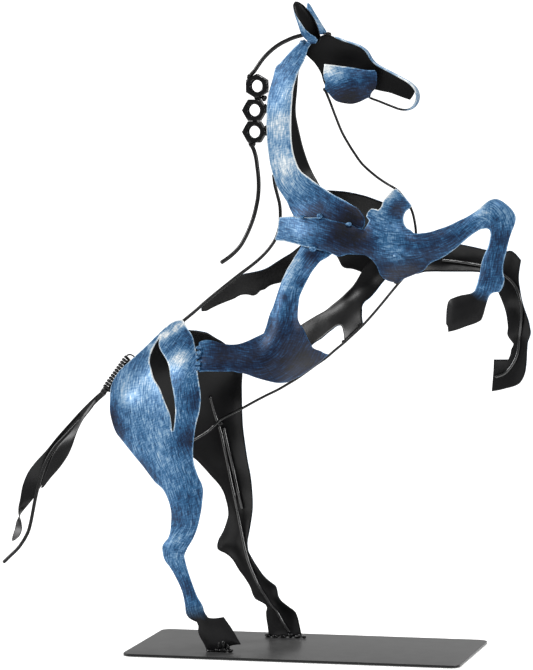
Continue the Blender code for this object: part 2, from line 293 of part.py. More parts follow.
# Stiffening rods on the inner face of the left legs, as (x, z); the depth comes from the sheet behind them.
HIND_ROD_TOP = [(-85.8, 189.3), (-84, 181), (-82, 172.6)]
HIND_ROD_LONG = [
    (-79.6, 166.5), (-78.3, 162.3), (-75.6, 150.6), (-72, 132.2), (-69.9, 122.6), (-67.1, 111.8), (-65.3, 102),
    (-62.6, 88.4), (-60.2, 77.5), (-58, 68.4), (-55.2, 59.4), (-51.4, 50.4), (-46.7, 40.6), (-42, 33.6), (-37.3, 26.4),
    (-32.6, 21), (-29.8, 15.6), (-26, 9.7), (-23, 5.5),
]
HIND_ROD_SHORT = [(-75.8, 165), (-71.8, 148), (-68, 131), (-63.8, 113.5), (-61.2, 101)]
FORE_ROD = [
    (98.2, 298.6), (105.5, 297.9), (113, 297), (120.6, 295.9), (128.2, 294.6), (138, 291.5), (146.5, 287), (153.5, 280.8), (158.1, 271),
    (159.5, 260.3), (159, 250), (157.6, 239.6), (156.7, 228.6), (153, 219.5), (145.9, 211.7), (139.6, 209.4),
]
NUT_CENTRES = [(-38.9, 430.9, 30.0), (-40.9, 412.6, 0.0), (-40.9, 412.6 - NUT_AF - GAP, 0.0)]
SPRING_TOP, SPRING_BOTTOM = (-142.3, 0.0, 219.4), (-157.6, 0.0, 198.6)

BLUE, BLACK, DARK = (0.055, 0.16, 0.36), (0.02, 0.021, 0.024), (0.035, 0.035, 0.038)


def clear_scene():
    for obj in list(bpy.data.objects):
        bpy.data.objects.remove(obj, do_unlink=True)
    for group in list(bpy.data.collections):
        bpy.data.collections.remove(group)
    bpy.context.scene.unit_settings.scale_length = 1.0


def depth_field(points):
    """A thin-plate surface y(x, z) through (x, z, y) points, in mm."""
    table = np.array(points, float)
    count, scale = len(table), 100.0
    knots = table[:, :2] / scale

    def kernel(squared):
        return np.where(squared > 1e-12, squared * np.log(np.maximum(squared, 1e-12)), 0.0)

    system = np.zeros((count + 3, count + 3))
    system[:count, :count] = kernel(((knots[:, None] - knots[None]) ** 2).sum(-1))
    system[:count, count] = 1.0
    system[:count, count + 1 :] = knots
    system[count, :count] = 1.0
    system[count + 1 :, :count] = knots.T
    weights = np.linalg.solve(system, np.concatenate([table[:, 2], np.zeros(3)]))

    def field(places):
        query = np.asarray(places, float) / scale
        squared = ((query[:, None] - knots[None]) ** 2).sum(-1)
        return kernel(squared) @ weights[:count] + weights[count] + query @ weights[count + 1 :]

    return field


def inside(points, ring):
    """Even-odd test of many points against one closed ring."""
    points, ring = np.asarray(points, float), np.asarray(ring, float)
    result = np.zeros(len(points), bool)
    for (x1, z1), (x2, z2) in zip(ring, np.roll(ring, -1, axis=0)):
        crosses = (z1 > points[:, 1]) != (z2 > points[:, 1])
        at = x1 + (points[:, 1] - z1) * (x2 - x1) / (z2 - z1 if z2 != z1 else 1e-9)
        result ^= crosses & (points[:, 0] < at)
    return result


def distance_to(points, ring):
    points, ring = np.asarray(points, float), np.asarray(ring, float)
    best = np.full(len(points), 1e9)
    for start, end in zip(ring, np.roll(ring, -1, axis=0)):
        along = end - start
        share = np.clip(((points - start) @ along) / max(along @ along, 1e-9), 0, 1)
        best = np.minimum(best, np.linalg.norm(points - start - share[:, None] * along, axis=1))
    return best


def grid_points(ring, holes, step):
    """A staggered grid of points inside a ring, clear of its edge and of its holes."""
    ring = np.array(ring, float)
    low, high = ring.min(0), ring.max(0)
    rows = []
    for row, z in enumerate(np.arange(low[1], high[1], step * 0.866)):
        rows += [(x, z) for x in np.arange(low[0] + (row % 2) * step / 2, high[0], step)]
    found = np.array(rows)
    keep = inside(found, ring) & (distance_to(found, ring) > 0.42 * step)
    for hole in holes:
        keep &= ~inside(found, hole) & (distance_to(found, hole) > 0.42 * step)
    return found[keep]


def material(name, colour, metallic, roughness):
    made = bpy.data.materials.new(name)
    made.use_nodes = True
    shader = made.node_tree.nodes["Principled BSDF"]
    shader.inputs["Base Color"].default_value = (*colour, 1.0)
    shader.inputs["Metallic"].default_value = metallic
    shader.inputs["Roughness"].default_value = roughness
    made.diffuse_color = (*colour, 1.0)
    return made


def new_object(name, data, colour, metallic=0.4, roughness=0.4):
    obj = bpy.data.objects.new(name, data)
    GROUP.objects.link(obj)
    data.materials.append(material(name + "_finish", colour, metallic, roughness))
    return obj


def mesh_object(name, vertices, faces, colour, smooth=True, **finish):
    data = bpy.data.meshes.new(name)
    data.from_pydata([tuple(float(v) * MM for v in co) for co in vertices], [], faces)
    data.validate()
    data.shade_smooth() if smooth else data.shade_flat()
    return new_object(name, data, colour, **finish)


def solidify(obj, thickness):
    shell = obj.modifiers.new("Sheet", "SOLIDIFY")
    shell.thickness = thickness * MM
    shell.offset = 0.0
    shell.use_rim = True
    return shell


def sheet(name, ring, depth, colour, holes=(), step=GRID, through=()):
    """One bowed sheet: its outline cut out, holes and all, on the depth field. through adds points of its own."""
    rings = [list(ring), *[list(hole) for hole in holes]]
    places, edges = [], []
    for loop in rings:
        start = len(places)
        places += loop
        edges += [(start + i, start + (i + 1) % len(loop)) for i in range(len(loop))]
    inner = grid_points(ring, holes, step)
    if through:
        apart = np.linalg.norm(inner[:, None] - np.array(through, float)[None], axis=-1).min(1)
        inner = np.concatenate([inner[apart > 0.45 * step], np.array(through, float)])
    places += [tuple(p) for p in inner]
    flat, _, faces, *_ = delaunay_2d_cdt([tuple(map(float, p)) for p in places], edges, [], 0, 1e-6)
    flat = np.array([tuple(p) for p in flat])
    faces = np.array([tuple(f) for f in faces])
    middles = flat[faces].mean(1)
    keep = inside(middles, ring)
    for hole in holes:
        keep &= ~inside(middles, hole)
    faces = faces[keep]
    y = depth_field(depth)(flat)
    obj = mesh_object(name, np.stack([flat[:, 0], y, flat[:, 1]], 1), faces.tolist(), colour)
    solidify(obj, SHEET_T)
    return obj


def ribbon(name, pairs, colour, thickness=SHEET_T):
    """A strip between two edges, given as pairs of points across it."""
    vertices = [point for pair in pairs for point in pair]
    faces = [(2 * i, 2 * i + 1, 2 * i + 3, 2 * i + 2) for i in range(len(pairs) - 1)]
    obj = mesh_object(name, vertices, faces, colour)
    solidify(obj, thickness)
    return obj


def rod(name, points, diameter, colour=BLACK):
    data = bpy.data.curves.new(name, "CURVE")
    data.dimensions = "3D"
    data.bevel_depth = diameter / 2 * MM
    data.bevel_resolution = 2
    data.use_fill_caps = True
    line = data.splines.new("POLY")
    line.points.add(len(points) - 1)
    for place, (x, y, z) in zip(line.points, points):
        place.co = (x * MM, y * MM, z * MM, 1.0)
    line.use_smooth = True
    return new_object(name, data, colour, metallic=0.5, roughness=0.3)


def rod_on_sheet(name, places, depth, stand_off):
    """A rod lying on the inner face of a left-side sheet."""
    y = depth_field(depth)(np.array(places, float)) - stand_off
    return rod(name, [(x, float(d), z) for (x, z), d in zip(places, y)], LEG_ROD_D)


def prism(name, ring, low, high, axis, colour, hole=None, smooth=False, **finish):
    """An extruded ring, with an inner ring of as many points for a bore if given. axis is 1 for Y or 2 for Z."""
    def lift(point, at):
        return (point[0], at, point[1]) if axis == 1 else (point[0], point[1], at)

    loops = [[lift(p, low) for p in ring], [lift(p, high) for p in ring]]
    if hole:
        loops += [[lift(p, low) for p in hole], [lift(p, high) for p in hole]]
    count = len(ring)
    vertices = [v for loop in loops for v in loop]
    faces = []
    for i in range(count):
        j = (i + 1) % count
        faces.append((i, j, count + j, count + i))
        if hole:
            faces.append((2 * count + j, 2 * count + i, 3 * count + i, 3 * count + j))
            faces.append((j, i, 2 * count + i, 2 * count + j))
            faces.append((count + i, count + j, 3 * count + j, 3 * count + i))
    if not hole:
        faces += [tuple(reversed(range(count))), tuple(range(count, 2 * count))]
    if axis == 1:
        faces = [tuple(reversed(f)) for f in faces]
    return mesh_object(name, vertices, faces, colour, smooth=smooth, **finish)


def base_plate():
    half_x, half_y, ring = PLATE_X / 2 - PLATE_R, PLATE_Y / 2 - PLATE_R, []
    for corner, (sx, sy) in enumerate([(1, 1), (-1, 1), (-1, -1), (1, -1)]):
        for step in range(7):
            angle = math.radians(90 * corner + 15 * step)
            ring.append((sx * half_x + PLATE_R * math.cos(angle), sy * half_y + PLATE_R * math.sin(angle)))
    return prism("base_plate", ring, 0.0, PLATE_T, 2, DARK, metallic=0.3, roughness=0.45)


def hex_nut(name, x, z, turn):
    """A hexagon nut on edge, its bore along Y. With no turn a corner points forward and back."""
    count, corner = 12, NUT_AF / math.sqrt(3)
    outer, bore = [], []
    for i in range(count):
        angle = 2 * math.pi * i / count
        from_corner = angle % (math.pi / 3)
        reach = NUT_AF / 2 / math.cos(from_corner - math.pi / 6)
        place = angle + math.radians(turn)
        outer.append((x + min(reach, corner) * math.cos(place), z + min(reach, corner) * math.sin(place)))
        bore.append((x + NUT_BORE / 2 * math.cos(place), z + NUT_BORE / 2 * math.sin(place)))
    return prism(name, outer, -NUT_H / 2, NUT_H / 2, 1, BLACK, hole=bore, metallic=0.6, roughness=0.3)


def tail_spring():
    top, bottom = np.array(SPRING_TOP), np.array(SPRING_BOTTOM)
    along = (bottom - top) / np.linalg.norm(bottom - top)
    side = np.array([0.0, 1.0, 0.0])
    out = np.cross(along, side)
    steps = int(SPRING_TURNS * 8)
    points = [(-135.8, 0.0, 222.2), (-138.2, 0.0, 223.8), (-140.8, 0.2, 223.9), (-143.6, 0.2, 222.4)]
    for i in range(steps + 1):
        angle = 2 * math.pi * SPRING_TURNS * i / steps
        centre = top + (bottom - top) * i / steps
        points.append(tuple(centre - out * SPRING_R * math.cos(angle) + side * SPRING_R * math.sin(angle)))
    return rod("tail_spring", points, SPRING_WIRE_D)


def ear(name, rows, y, back, colour=BLUE):
    """A cupped leaf of sheet, wrapped further round towards its base. back is 1 if its hollow faces -Y."""
    columns, vertices, faces = 7, [], []
    for left_x, left_z, right_x, right_z, wrap in rows:
        half_x, half_z = (right_x - left_x) / 2, (right_z - left_z) / 2
        depth = max(0.5 * math.hypot(half_x, half_z), 0.6 if wrap == 0 else 1.7)
        for j in range(columns + 1):
            angle = math.radians(180 + wrap) * j / columns
            side = math.cos(angle)
            vertices.append((
                (left_x + right_x) / 2 + half_x * side, y + back * depth * math.sin(angle),
                (left_z + right_z) / 2 + half_z * side,
            ))
    for i in range(len(rows) - 1):
        for j in range(columns):
            a = i * (columns + 1) + j
            faces.append((a, a + 1, a + columns + 2, a + columns + 1))
    obj = mesh_object(name, vertices, faces, colour)
    solidify(obj, EAR_T)
    return obj


def build():
    base_plate()
    sheet("right_haunch", RIGHT_HAUNCH, RIGHT_HAUNCH_DEPTH, BLUE, [RIGHT_SLIT])
    sheet("left_haunch", LEFT_HAUNCH, LEFT_HAUNCH_DEPTH, BLUE, through=HIND_ROD_TOP + HIND_ROD_LONG + HIND_ROD_SHORT)
    sheet("right_flank", RIGHT_FLANK, RIGHT_FLANK_DEPTH, BLUE, step=9.0)
    sheet("left_back_rib", LEFT_BACK_RIB, LEFT_BACK_RIB_DEPTH, BLUE)
    sheet("left_belly_band", LEFT_BELLY_BAND, LEFT_BELLY_BAND_DEPTH, BLUE)
    sheet("right_shoulder", RIGHT_SHOULDER, RIGHT_SHOULDER_DEPTH, BLUE, step=9.0)
    sheet("left_shoulder", LEFT_SHOULDER, LEFT_SHOULDER_DEPTH, BLUE, through=FORE_ROD)
    sheet("right_neck", RIGHT_NECK, RIGHT_NECK_DEPTH, BLUE, step=9.0)
    sheet("left_neck", LEFT_NECK, LEFT_NECK_DEPTH, BLUE, step=9.0)
    sheet("head_plate", HEAD_PLATE, HEAD_PLATE_DEPTH, BLUE, step=9.0)
    sheet("cheek_plate", CHEEK_PLATE, CHEEK_PLATE_DEPTH, BLUE, step=7.0)
    ribbon("muzzle_strip", [((x, -half, z), (x, half, z)) for x, z, half in MUZZLE_PATH], BLUE)
    ear("right_ear", RIGHT_EAR, RIGHT_EAR_Y, 1)
    ear("left_ear", LEFT_EAR, LEFT_EAR_Y, -1)
    rod("mane_rod_upper", MANE_ROD_UPPER, ROD_D)
    for number, (x, z, turn) in enumerate(NUT_CENTRES, 1):
        hex_nut(f"mane_nut_{number}", x, z, turn)
    rod("mane_rod_lower", MANE_ROD_LOWER, ROD_D)
    rod("spine_rod", SPINE_ROD, SPINE_ROD_D)
    rod("belly_rod", BELLY_ROD, THIN_ROD_D)
    stand_off = (SHEET_T + LEG_ROD_D) / 2 + 2.6 * GAP
    rod_on_sheet("hind_leg_rod_top", HIND_ROD_TOP, LEFT_HAUNCH_DEPTH, stand_off)
    rod_on_sheet("hind_leg_rod_long", HIND_ROD_LONG, LEFT_HAUNCH_DEPTH, stand_off)
    rod_on_sheet("hind_leg_rod_short", HIND_ROD_SHORT, LEFT_HAUNCH_DEPTH, stand_off)
    rod_on_sheet("fore_leg_rod", FORE_ROD, LEFT_SHOULDER_DEPTH, stand_off)
    tail_spring()
    ribbon("tail_strip_back", TAIL_STRIP_BACK, BLACK, 0.8)
    ribbon("tail_strip_front", TAIL_STRIP_FRONT, BLACK, 0.8)
    rod("tail_rod", TAIL_ROD, TAIL_ROD_D)


clear_scene()
GROUP = bpy.data.collections.new("metal_horse_statue")
bpy.context.scene.collection.children.link(GROUP)
build()
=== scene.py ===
"""The looks of a rearing horse of bowed sheet metal and bent rod, on its flat base plate.

Each sheet is a smooth outline (x, z in mm) on a bowed depth surface, with a rounded rim, a dry-brushed
outside and a black inside. Rods are circles carried along smooth paths, strips are rounded bars carried
between two edges.
"""

import logging
import math
from dataclasses import dataclass, field
from enum import Enum
from typing import Any, Sequence

import bmesh
import bpy
import numpy as np
from mathutils import Matrix, Vector
from mathutils.geometry import delaunay_2d_cdt


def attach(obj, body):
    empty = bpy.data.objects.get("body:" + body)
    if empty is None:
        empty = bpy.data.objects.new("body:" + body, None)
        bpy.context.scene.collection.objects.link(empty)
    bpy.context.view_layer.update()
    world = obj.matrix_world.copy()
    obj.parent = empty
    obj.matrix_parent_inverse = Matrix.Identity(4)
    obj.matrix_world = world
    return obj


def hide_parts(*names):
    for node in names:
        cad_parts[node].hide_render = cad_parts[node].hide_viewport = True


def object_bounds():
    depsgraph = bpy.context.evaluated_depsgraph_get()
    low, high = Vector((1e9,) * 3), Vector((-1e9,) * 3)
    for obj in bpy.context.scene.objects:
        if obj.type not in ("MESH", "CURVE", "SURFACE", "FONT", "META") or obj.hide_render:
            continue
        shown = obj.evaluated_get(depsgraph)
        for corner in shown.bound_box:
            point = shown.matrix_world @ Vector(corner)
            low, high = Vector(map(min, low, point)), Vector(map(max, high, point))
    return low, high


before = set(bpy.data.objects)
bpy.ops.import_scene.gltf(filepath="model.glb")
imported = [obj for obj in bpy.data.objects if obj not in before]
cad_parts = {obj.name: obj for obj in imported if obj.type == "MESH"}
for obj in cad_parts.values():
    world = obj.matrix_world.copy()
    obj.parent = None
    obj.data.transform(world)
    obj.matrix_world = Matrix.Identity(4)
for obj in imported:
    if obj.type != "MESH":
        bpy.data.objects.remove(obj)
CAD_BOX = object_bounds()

logger = logging.getLogger("metal_horse")

MM = 0.001
BOX_MARGIN = 1e-5  # how far inside the CAD box every point stays, in metres
SHEET_T = 1.0
RIM_ROUND = 0.3  # how far a sheet's rounded rim reaches in from its outline
EDGE_BAND = 1.3  # where a first row of points follows the rim, so that the pale edge line, worn paint and painted highlight, is fine enough
WIDE_BAND = 2.6 * EDGE_BAND  # where a second row does
RING_STEP, GRID_STEP = 1.8, 4.0  # the distance between points along an outline and inside it
GRID_ROW = 0.866  # the distance between the staggered grid's rows, as a share of its step
CORNER, NO_CORNER = 38.0, 179.0  # the turns in degrees above which a curve keeps a corner
ROLL_FROM, ROLL_OVER = 9.0, 12.0  # a sheet's edge is rolled in where it stands this far off the middle
ROLL_REACH = 3.2  # how far in from the edge the roll reaches
SPOT_SPREAD, SPOT_GAIN = 1.3, 1.3  # how much wider and stronger the tables' spots are painted
EDGE_FADE, SHADE_FADE = 0.8, 4.5  # how far in the pale edge line, worn paint and painted highlight on the rim, and the painted shade band beside it reach
SLIT_EDGE = 0.72  # how strong the pale line round the slit is, worn paint and painted highlight on its rim
PLATE_T, PLATE_X, PLATE_Y, PLATE_R = 2.0, 260.0, 130.0, 8.0
GAP = 0.3
FLOOR = PLATE_T + GAP + 0.1  # where a hoof's lower edge stands
HEAD_Y = 5.6
EAR_T, TAIL_STRIP_T, MUZZLE_STRIP_T = 0.8, 0.8, 1.6
ROD_D, THIN_ROD_D, LEG_ROD_D, SPINE_ROD_D, TAIL_ROD_D, HOOK_D = 3.2, 2.0, 2.6, 2.6, 2.8, 1.2
NUT_AF, NUT_BORE, NUT_H, NUT_PITCH = 16.2, 9.2, 8.0, 1.5
SPRING_R, SPRING_WIRE_D, SPRING_TURNS = 2.7, 2.2, 11.5

Point = tuple[float, ...]
Array = np.ndarray

RIGHT_HAUNCH = [
    (-100.5, 251.3), (-97, 251.3), (-94.5, 249.5), (-90.8, 245.3), (-87.5, 242.7), (-84.6, 239.2),
    (-82.8, 235.8), (-81.2, 232.9), (-79, 228), (-77.8, 223.7), (-76.5, 216.8), (-75, 208), (-73.8, 200.7),
    (-73.4, 195.3), (-73.7, 190), (-74.6, 183.7), (-75.9, 179.2), (-77, 174.7), (-78.4, 165.5),
    (-79.2, 155.4), (-79.2, 150.4), (-78.4, 145.3), (-77, 140.4), (-75.2, 135.3), (-72.6, 129.5),
    (-71.8, 125.2), (-72, 119.6), (-72.4, 114), (-74, 104.6), (-76.6, 95.3), (-80.3, 87), (-84.8, 79.4),
    (-86.6, 74.6), (-86, 71), (-83.8, 62.8), (-80.2, 52.9), (-76.6, 44), (-72, 36.1), (-71, 32.5),
    (-68, 28.1), (-65.6, 27.7), (-61, 28), (-55.8, 28.9), (-50, 20.8), (-42.5, 8.3), (-50, 7), (-54, 5),
    (-57.5, FLOOR), (-68.8, FLOOR), (-70.4, 6.2), (-75.8, 17.8), (-75.6, 21.3), (-77, 24.4), (-79.9, 25.5),
    (-82.8, 27.1), (-84.7, 29.4), (-86.1, 37), (-88.5, 47.2), (-92.7, 56.3), (-97.6, 65), (-102, 71),
    (-103.4, 74.7), (-104, 78.3), (-104, 81.6), (-102.8, 84), (-100, 87), (-98.6, 89.8), (-97.2, 98.2),
    (-97, 109.3), (-99.5, 118), (-103.8, 125.5), (-109.8, 130), (-114.7, 135.2), (-120, 141), (-128.4, 149),
    (-136.8, 157.1), (-141, 161), (-145.2, 164.9), (-147.9, 169.4), (-150, 174.4), (-151.8, 179.7),
    (-152.6, 189.3), (-152.8, 199.1), (-149.5, 207.3), (-146.8, 211.3), (-138.9, 218.8), (-130.3, 226.5),
    (-121.6, 234.9), (-112.8, 243.7), (-107.5, 248), (-104.7, 250),
]
RIGHT_SLIT = [
    (-112.8, 240.2), (-116.2, 234.6), (-118.1, 229.5), (-119, 224.5), (-118.6, 220.4), (-116.4, 216.2),
    (-112.7, 208.3), (-107, 201.7), (-102.9, 194), (-99.3, 187.4), (-97.2, 183.2), (-96, 177.8),
    (-95, 170.3), (-93.8, 170.6), (-93, 177.9), (-92.6, 184.2), (-93.2, 191), (-94.9, 199.2),
    (-96.4, 204.9), (-98.3, 211), (-100.6, 218.6), (-103.3, 222.8), (-106.9, 226.4), (-110.2, 229.4),
    (-113, 233.2), (-113.8, 236.3),
]
RIGHT_HAUNCH_DEPTH = [
    (-97, 251, -2.6), (-108, 247.5, -3), (-118, 239, -3.4), (-128, 229.5, -3.8), (-138, 220, -5),
    (-147, 209, -6.5), (-152, 196, -9), (-152, 182, -13), (-147, 168, -19), (-137, 157, -26),
    (-124, 145, -33), (-111, 132, -38.5), (-100, 240, -14), (-118, 225, -18), (-130, 210, -20),
    (-138, 193, -25), (-125, 190, -33), (-112, 175, -39), (-112, 205, -31), (-100, 200, -38),
    (-90, 215, -38), (-84, 237, -23), (-76, 215, -41), (-74, 200, -42), (-90, 180, -44), (-100, 160, -44),
    (-85, 150, -45), (-79, 170, -43.5), (-79, 150, -43), (-85, 110, -45), (-97, 110, -41.5),
    (-73, 122, -42), (-97, 98, -41), (-76, 97, -42), (-104, 80, -40.5), (-94, 78, -43.5), (-86, 76, -41),
    (-93, 57, -40.5), (-81, 57, -41), (-86, 35, -41.5), (-72, 36, -41.5), (-68, 3, -42), (-43, 8, -41),
    (-56, 28, -41.5),
]
LEFT_HAUNCH = [
    (-101, 246.5), (-96.5, 244), (-92.5, 243.2), (-89, 242.9), (-85.2, 242.1), (-81.3, 241), (-78.9, 239.1),
    (-76, 236.7), (-71.6, 233.2), (-67.8, 228), (-63.8, 221.8), (-60.9, 214), (-60, 207.5), (-60.5, 200),
    (-60.4, 187.2), (-60.4, 178), (-60, 167), (-58.1, 152.2), (-55.9, 137.2), (-54.4, 130.2),
    (-52.8, 119.2), (-52.2, 108.2), (-52.4, 103.6), (-53.7, 92.6), (-55.3, 82.4), (-56.4, 75),
    (-56.2, 71.8), (-55.6, 68.6), (-53.7, 65), (-48.6, 56.9), (-42.5, 48.8), (-36.5, 44), (-34.1, 42.3),
    (-32.5, 37.5), (-31.9, 34.3), (-30.5, 31.6), (-24.5, 26.4), (-18.4, 21.5), (-17.2, 18.8), (-15.2, 11.5),
    (-13.8, 5.6), (-13.2, FLOOR), (-39.4, FLOOR), (-40.2, 8.8), (-41.5, 18), (-41.6, 21.6), (-41, 24.8),
    (-42, 27), (-44.8, 28.7), (-50.4, 31.8), (-52, 34.4), (-54.1, 40.3), (-57.8, 46.6), (-63.5, 54.2),
    (-68.7, 61.8), (-71, 64), (-74.8, 66.6), (-78.6, 68.4), (-80.2, 69.9), (-80.5, 72.5), (-79.8, 76.2),
    (-75.8, 84.1), (-72.7, 92.9), (-71.9, 96.1), (-72, 100.3), (-74.1, 109.4), (-75.3, 113.1),
    (-79.4, 119.9), (-85.4, 126.6), (-91.7, 133.9), (-98.3, 140.6), (-104.5, 144.5), (-118, 147),
    (-135, 158), (-144, 171), (-147, 188), (-144, 204), (-134, 221), (-121, 234), (-108, 244.5),
]
LEFT_HAUNCH_DEPTH = [
    (-97, 248, 2.6), (-108, 244.5, 3), (-121, 234, 3.8), (-134, 221, 5), (-144, 204, 8), (-147, 188, 12),
    (-144, 171, 18), (-135, 158, 26), (-118, 148, 33), (-90, 236, 14), (-76, 236, 20), (-66, 225, 34),
    (-60, 210, 41), (-110, 215, 26), (-120, 195, 28), (-95, 195, 39), (-75, 205, 41), (-61, 187, 42),
    (-75, 170, 45), (-98, 160, 41), (-58, 152, 43), (-70, 130, 46), (-92, 134, 41.5), (-53, 112, 43),
    (-62, 100, 46), (-73, 98, 42.5), (-56, 76, 43.5), (-80, 71, 42), (-68, 73, 45.5), (-62, 54, 42.5),
    (-47, 55, 43.5), (-52, 36, 43), (-33, 38, 44), (-41, 20, 43), (-14, 6, 44.5), (-28, 12, 45.5),
    (-40, 4, 43),
]
RIGHT_FLANK = [
    (0, 311.5), (-3, 306.3), (-5.6, 302), (-8, 297.3), (-10.4, 293.3), (-12, 289.3), (-13.8, 284.6),
    (-15.4, 279), (-18.1, 269.2), (-19.7, 264.4), (-21.7, 260.3), (-25, 249.8), (-26.9, 244.9),
    (-30, 243.3), (-34.5, 241.2), (-38.9, 239), (-46.8, 236.3), (-52.6, 235.8), (-60, 236.5), (-68, 238.2),
    (-76.3, 237.8), (-78.6, 236.5), (-77.3, 230), (-76.2, 222), (-75, 215.3), (-71, 215.9), (-62.3, 216),
    (-53.3, 216.1), (-48.1, 216.3), (-44.9, 215.5), (-40, 214.8), (-30.9, 211.6), (-25.9, 209.9),
    (-21.6, 208.4), (-17.7, 207.2), (-13.7, 206.8), (-11, 207), (-8.2, 208.4), (-3.6, 210.9), (1.3, 214.2),
    (6, 217.8), (10.9, 221.6), (14.7, 225), (17.4, 227.4), (15.1, 228.5), (13, 230.6), (10.4, 231.9),
    (8.4, 233.8), (7.7, 237.2), (6.4, 241), (3.8, 249), (0.9, 253.9), (0.1, 256.4), (-0.1, 260.3),
    (0.6, 269.2), (1.2, 273.3), (2.7, 277.3), (6.3, 285.3), (10, 292.7), (12.3, 296), (14.8, 299.2),
    (19.6, 302), (24.6, 305.5), (22, 309.5), (11, 312.5),
]
RIGHT_FLANK_DEPTH = [
    (-79, 236.5, -26.5), (-76.5, 225, -35.5), (-75, 215, -41), (-58, 225, -38), (-55, 216, -41),
    (-40, 214, -41), (-22, 208, -33), (-13, 207, -23), (-3.6, 211, -9), (6, 218, -3.6), (17, 227, -3),
    (-28, 222, -39), (-10, 222, -31), (3, 226, -18), (-30, 243, -30), (-8, 243, -38), (6, 242, -28),
    (-20, 264, -32), (-9, 265, -36), (0, 263, -33), (-13, 286, -27), (8, 288, -29), (0, 308, -19.6),
    (12, 303, -22), (24, 306, -23.4), (11, 312, -21),
]
LEFT_BACK_RIB = [
    (-5.4, 310.2), (-10.2, 306.7), (-14.3, 303.5), (-18, 301.3), (-25.8, 296.5), (-29.6, 294),
    (-33.4, 291.8), (-41.6, 289.2), (-45.6, 288.4), (-51.1, 287.1), (-56.3, 283.5), (-64.4, 277.7),
    (-72.4, 271.5), (-80.2, 264.4), (-83.4, 260.6), (-83.6, 258.2), (-80.5, 258.3), (-76.9, 260.2),
    (-71.5, 262.9), (-65.6, 265.4), (-59.7, 267.8), (-54.7, 270.5), (-50, 270.9), (-45.3, 270),
    (-42.6, 271.2), (-40.2, 273.7), (-36.4, 275.1), (-33.4, 277.4), (-30, 278.9), (-25.9, 279.9),
    (-15, 284), (-5, 290), (5.3, 296.6), (12.8, 301.4), (14.5, 305), (4, 311),
]
LEFT_BACK_RIB_DEPTH = [
    (-83, 259.5, 2.9), (-71.5, 270.4, 3.4), (-55, 282.5, 4), (-41, 288.4, 5.5), (-14, 303.5, 6.6),
    (-5, 310, 6.6), (-76, 260.5, 7), (-59.7, 267.8, 12), (-45, 270.5, 16), (-30, 279, 17), (-10, 287, 17),
    (5, 296.5, 15.5), (13, 302, 13.5), (5, 309, 9.2),
]
LEFT_BELLY_BAND = [
    (44.4, 297.6), (40, 292.2), (37, 287.4), (34.6, 283.2), (31, 278), (26.9, 273.8), (21.1, 268.3),
    (15.1, 263.5), (9.2, 258.8), (3.2, 255.5), (-4, 251.4), (-14, 245.2), (-25, 237.6), (-38, 232),
    (-50, 229), (-64.6, 226.5), (-62.2, 221.5), (-59.3, 214.5), (-58.6, 210.5), (-45, 210), (-30, 213.8),
    (-15, 221.6), (-2.1, 230.9), (2.4, 234.4), (8.4, 238.1), (13, 242), (17.6, 245.4), (22, 248.4),
    (24.2, 248.8), (25.6, 248), (27, 245.2), (28.1, 242), (28.7, 238), (30.8, 239.1), (34.2, 242.4),
    (39.2, 247), (43.3, 251.1), (42, 256), (41.6, 260), (41.2, 264), (42.4, 266.5), (46, 269.5),
    (50.7, 274.8), (54.5, 280.2), (57.5, 284), (58.5, 291), (54, 299),
]
LEFT_BELLY_BAND_DEPTH = [
    (44, 298, 20.5), (52, 297, 22.5), (57.5, 285, 16), (36, 287, 20), (46, 281, 21), (50.5, 275, 13),
    (26, 275, 20), (32, 269, 21), (38.5, 265, 10), (14, 264, 22), (2, 256, 26), (18, 257, 21), (23, 249, 8),
    (28.5, 241, 2.9), (41, 252, 2.9), (39, 258, 6), (-14, 246, 33), (2, 245, 24), (3, 235, 16),
    (-15, 222, 31), (-38, 232, 36), (-45, 210, 37), (-64, 226, 33), (-59, 211, 39),
]
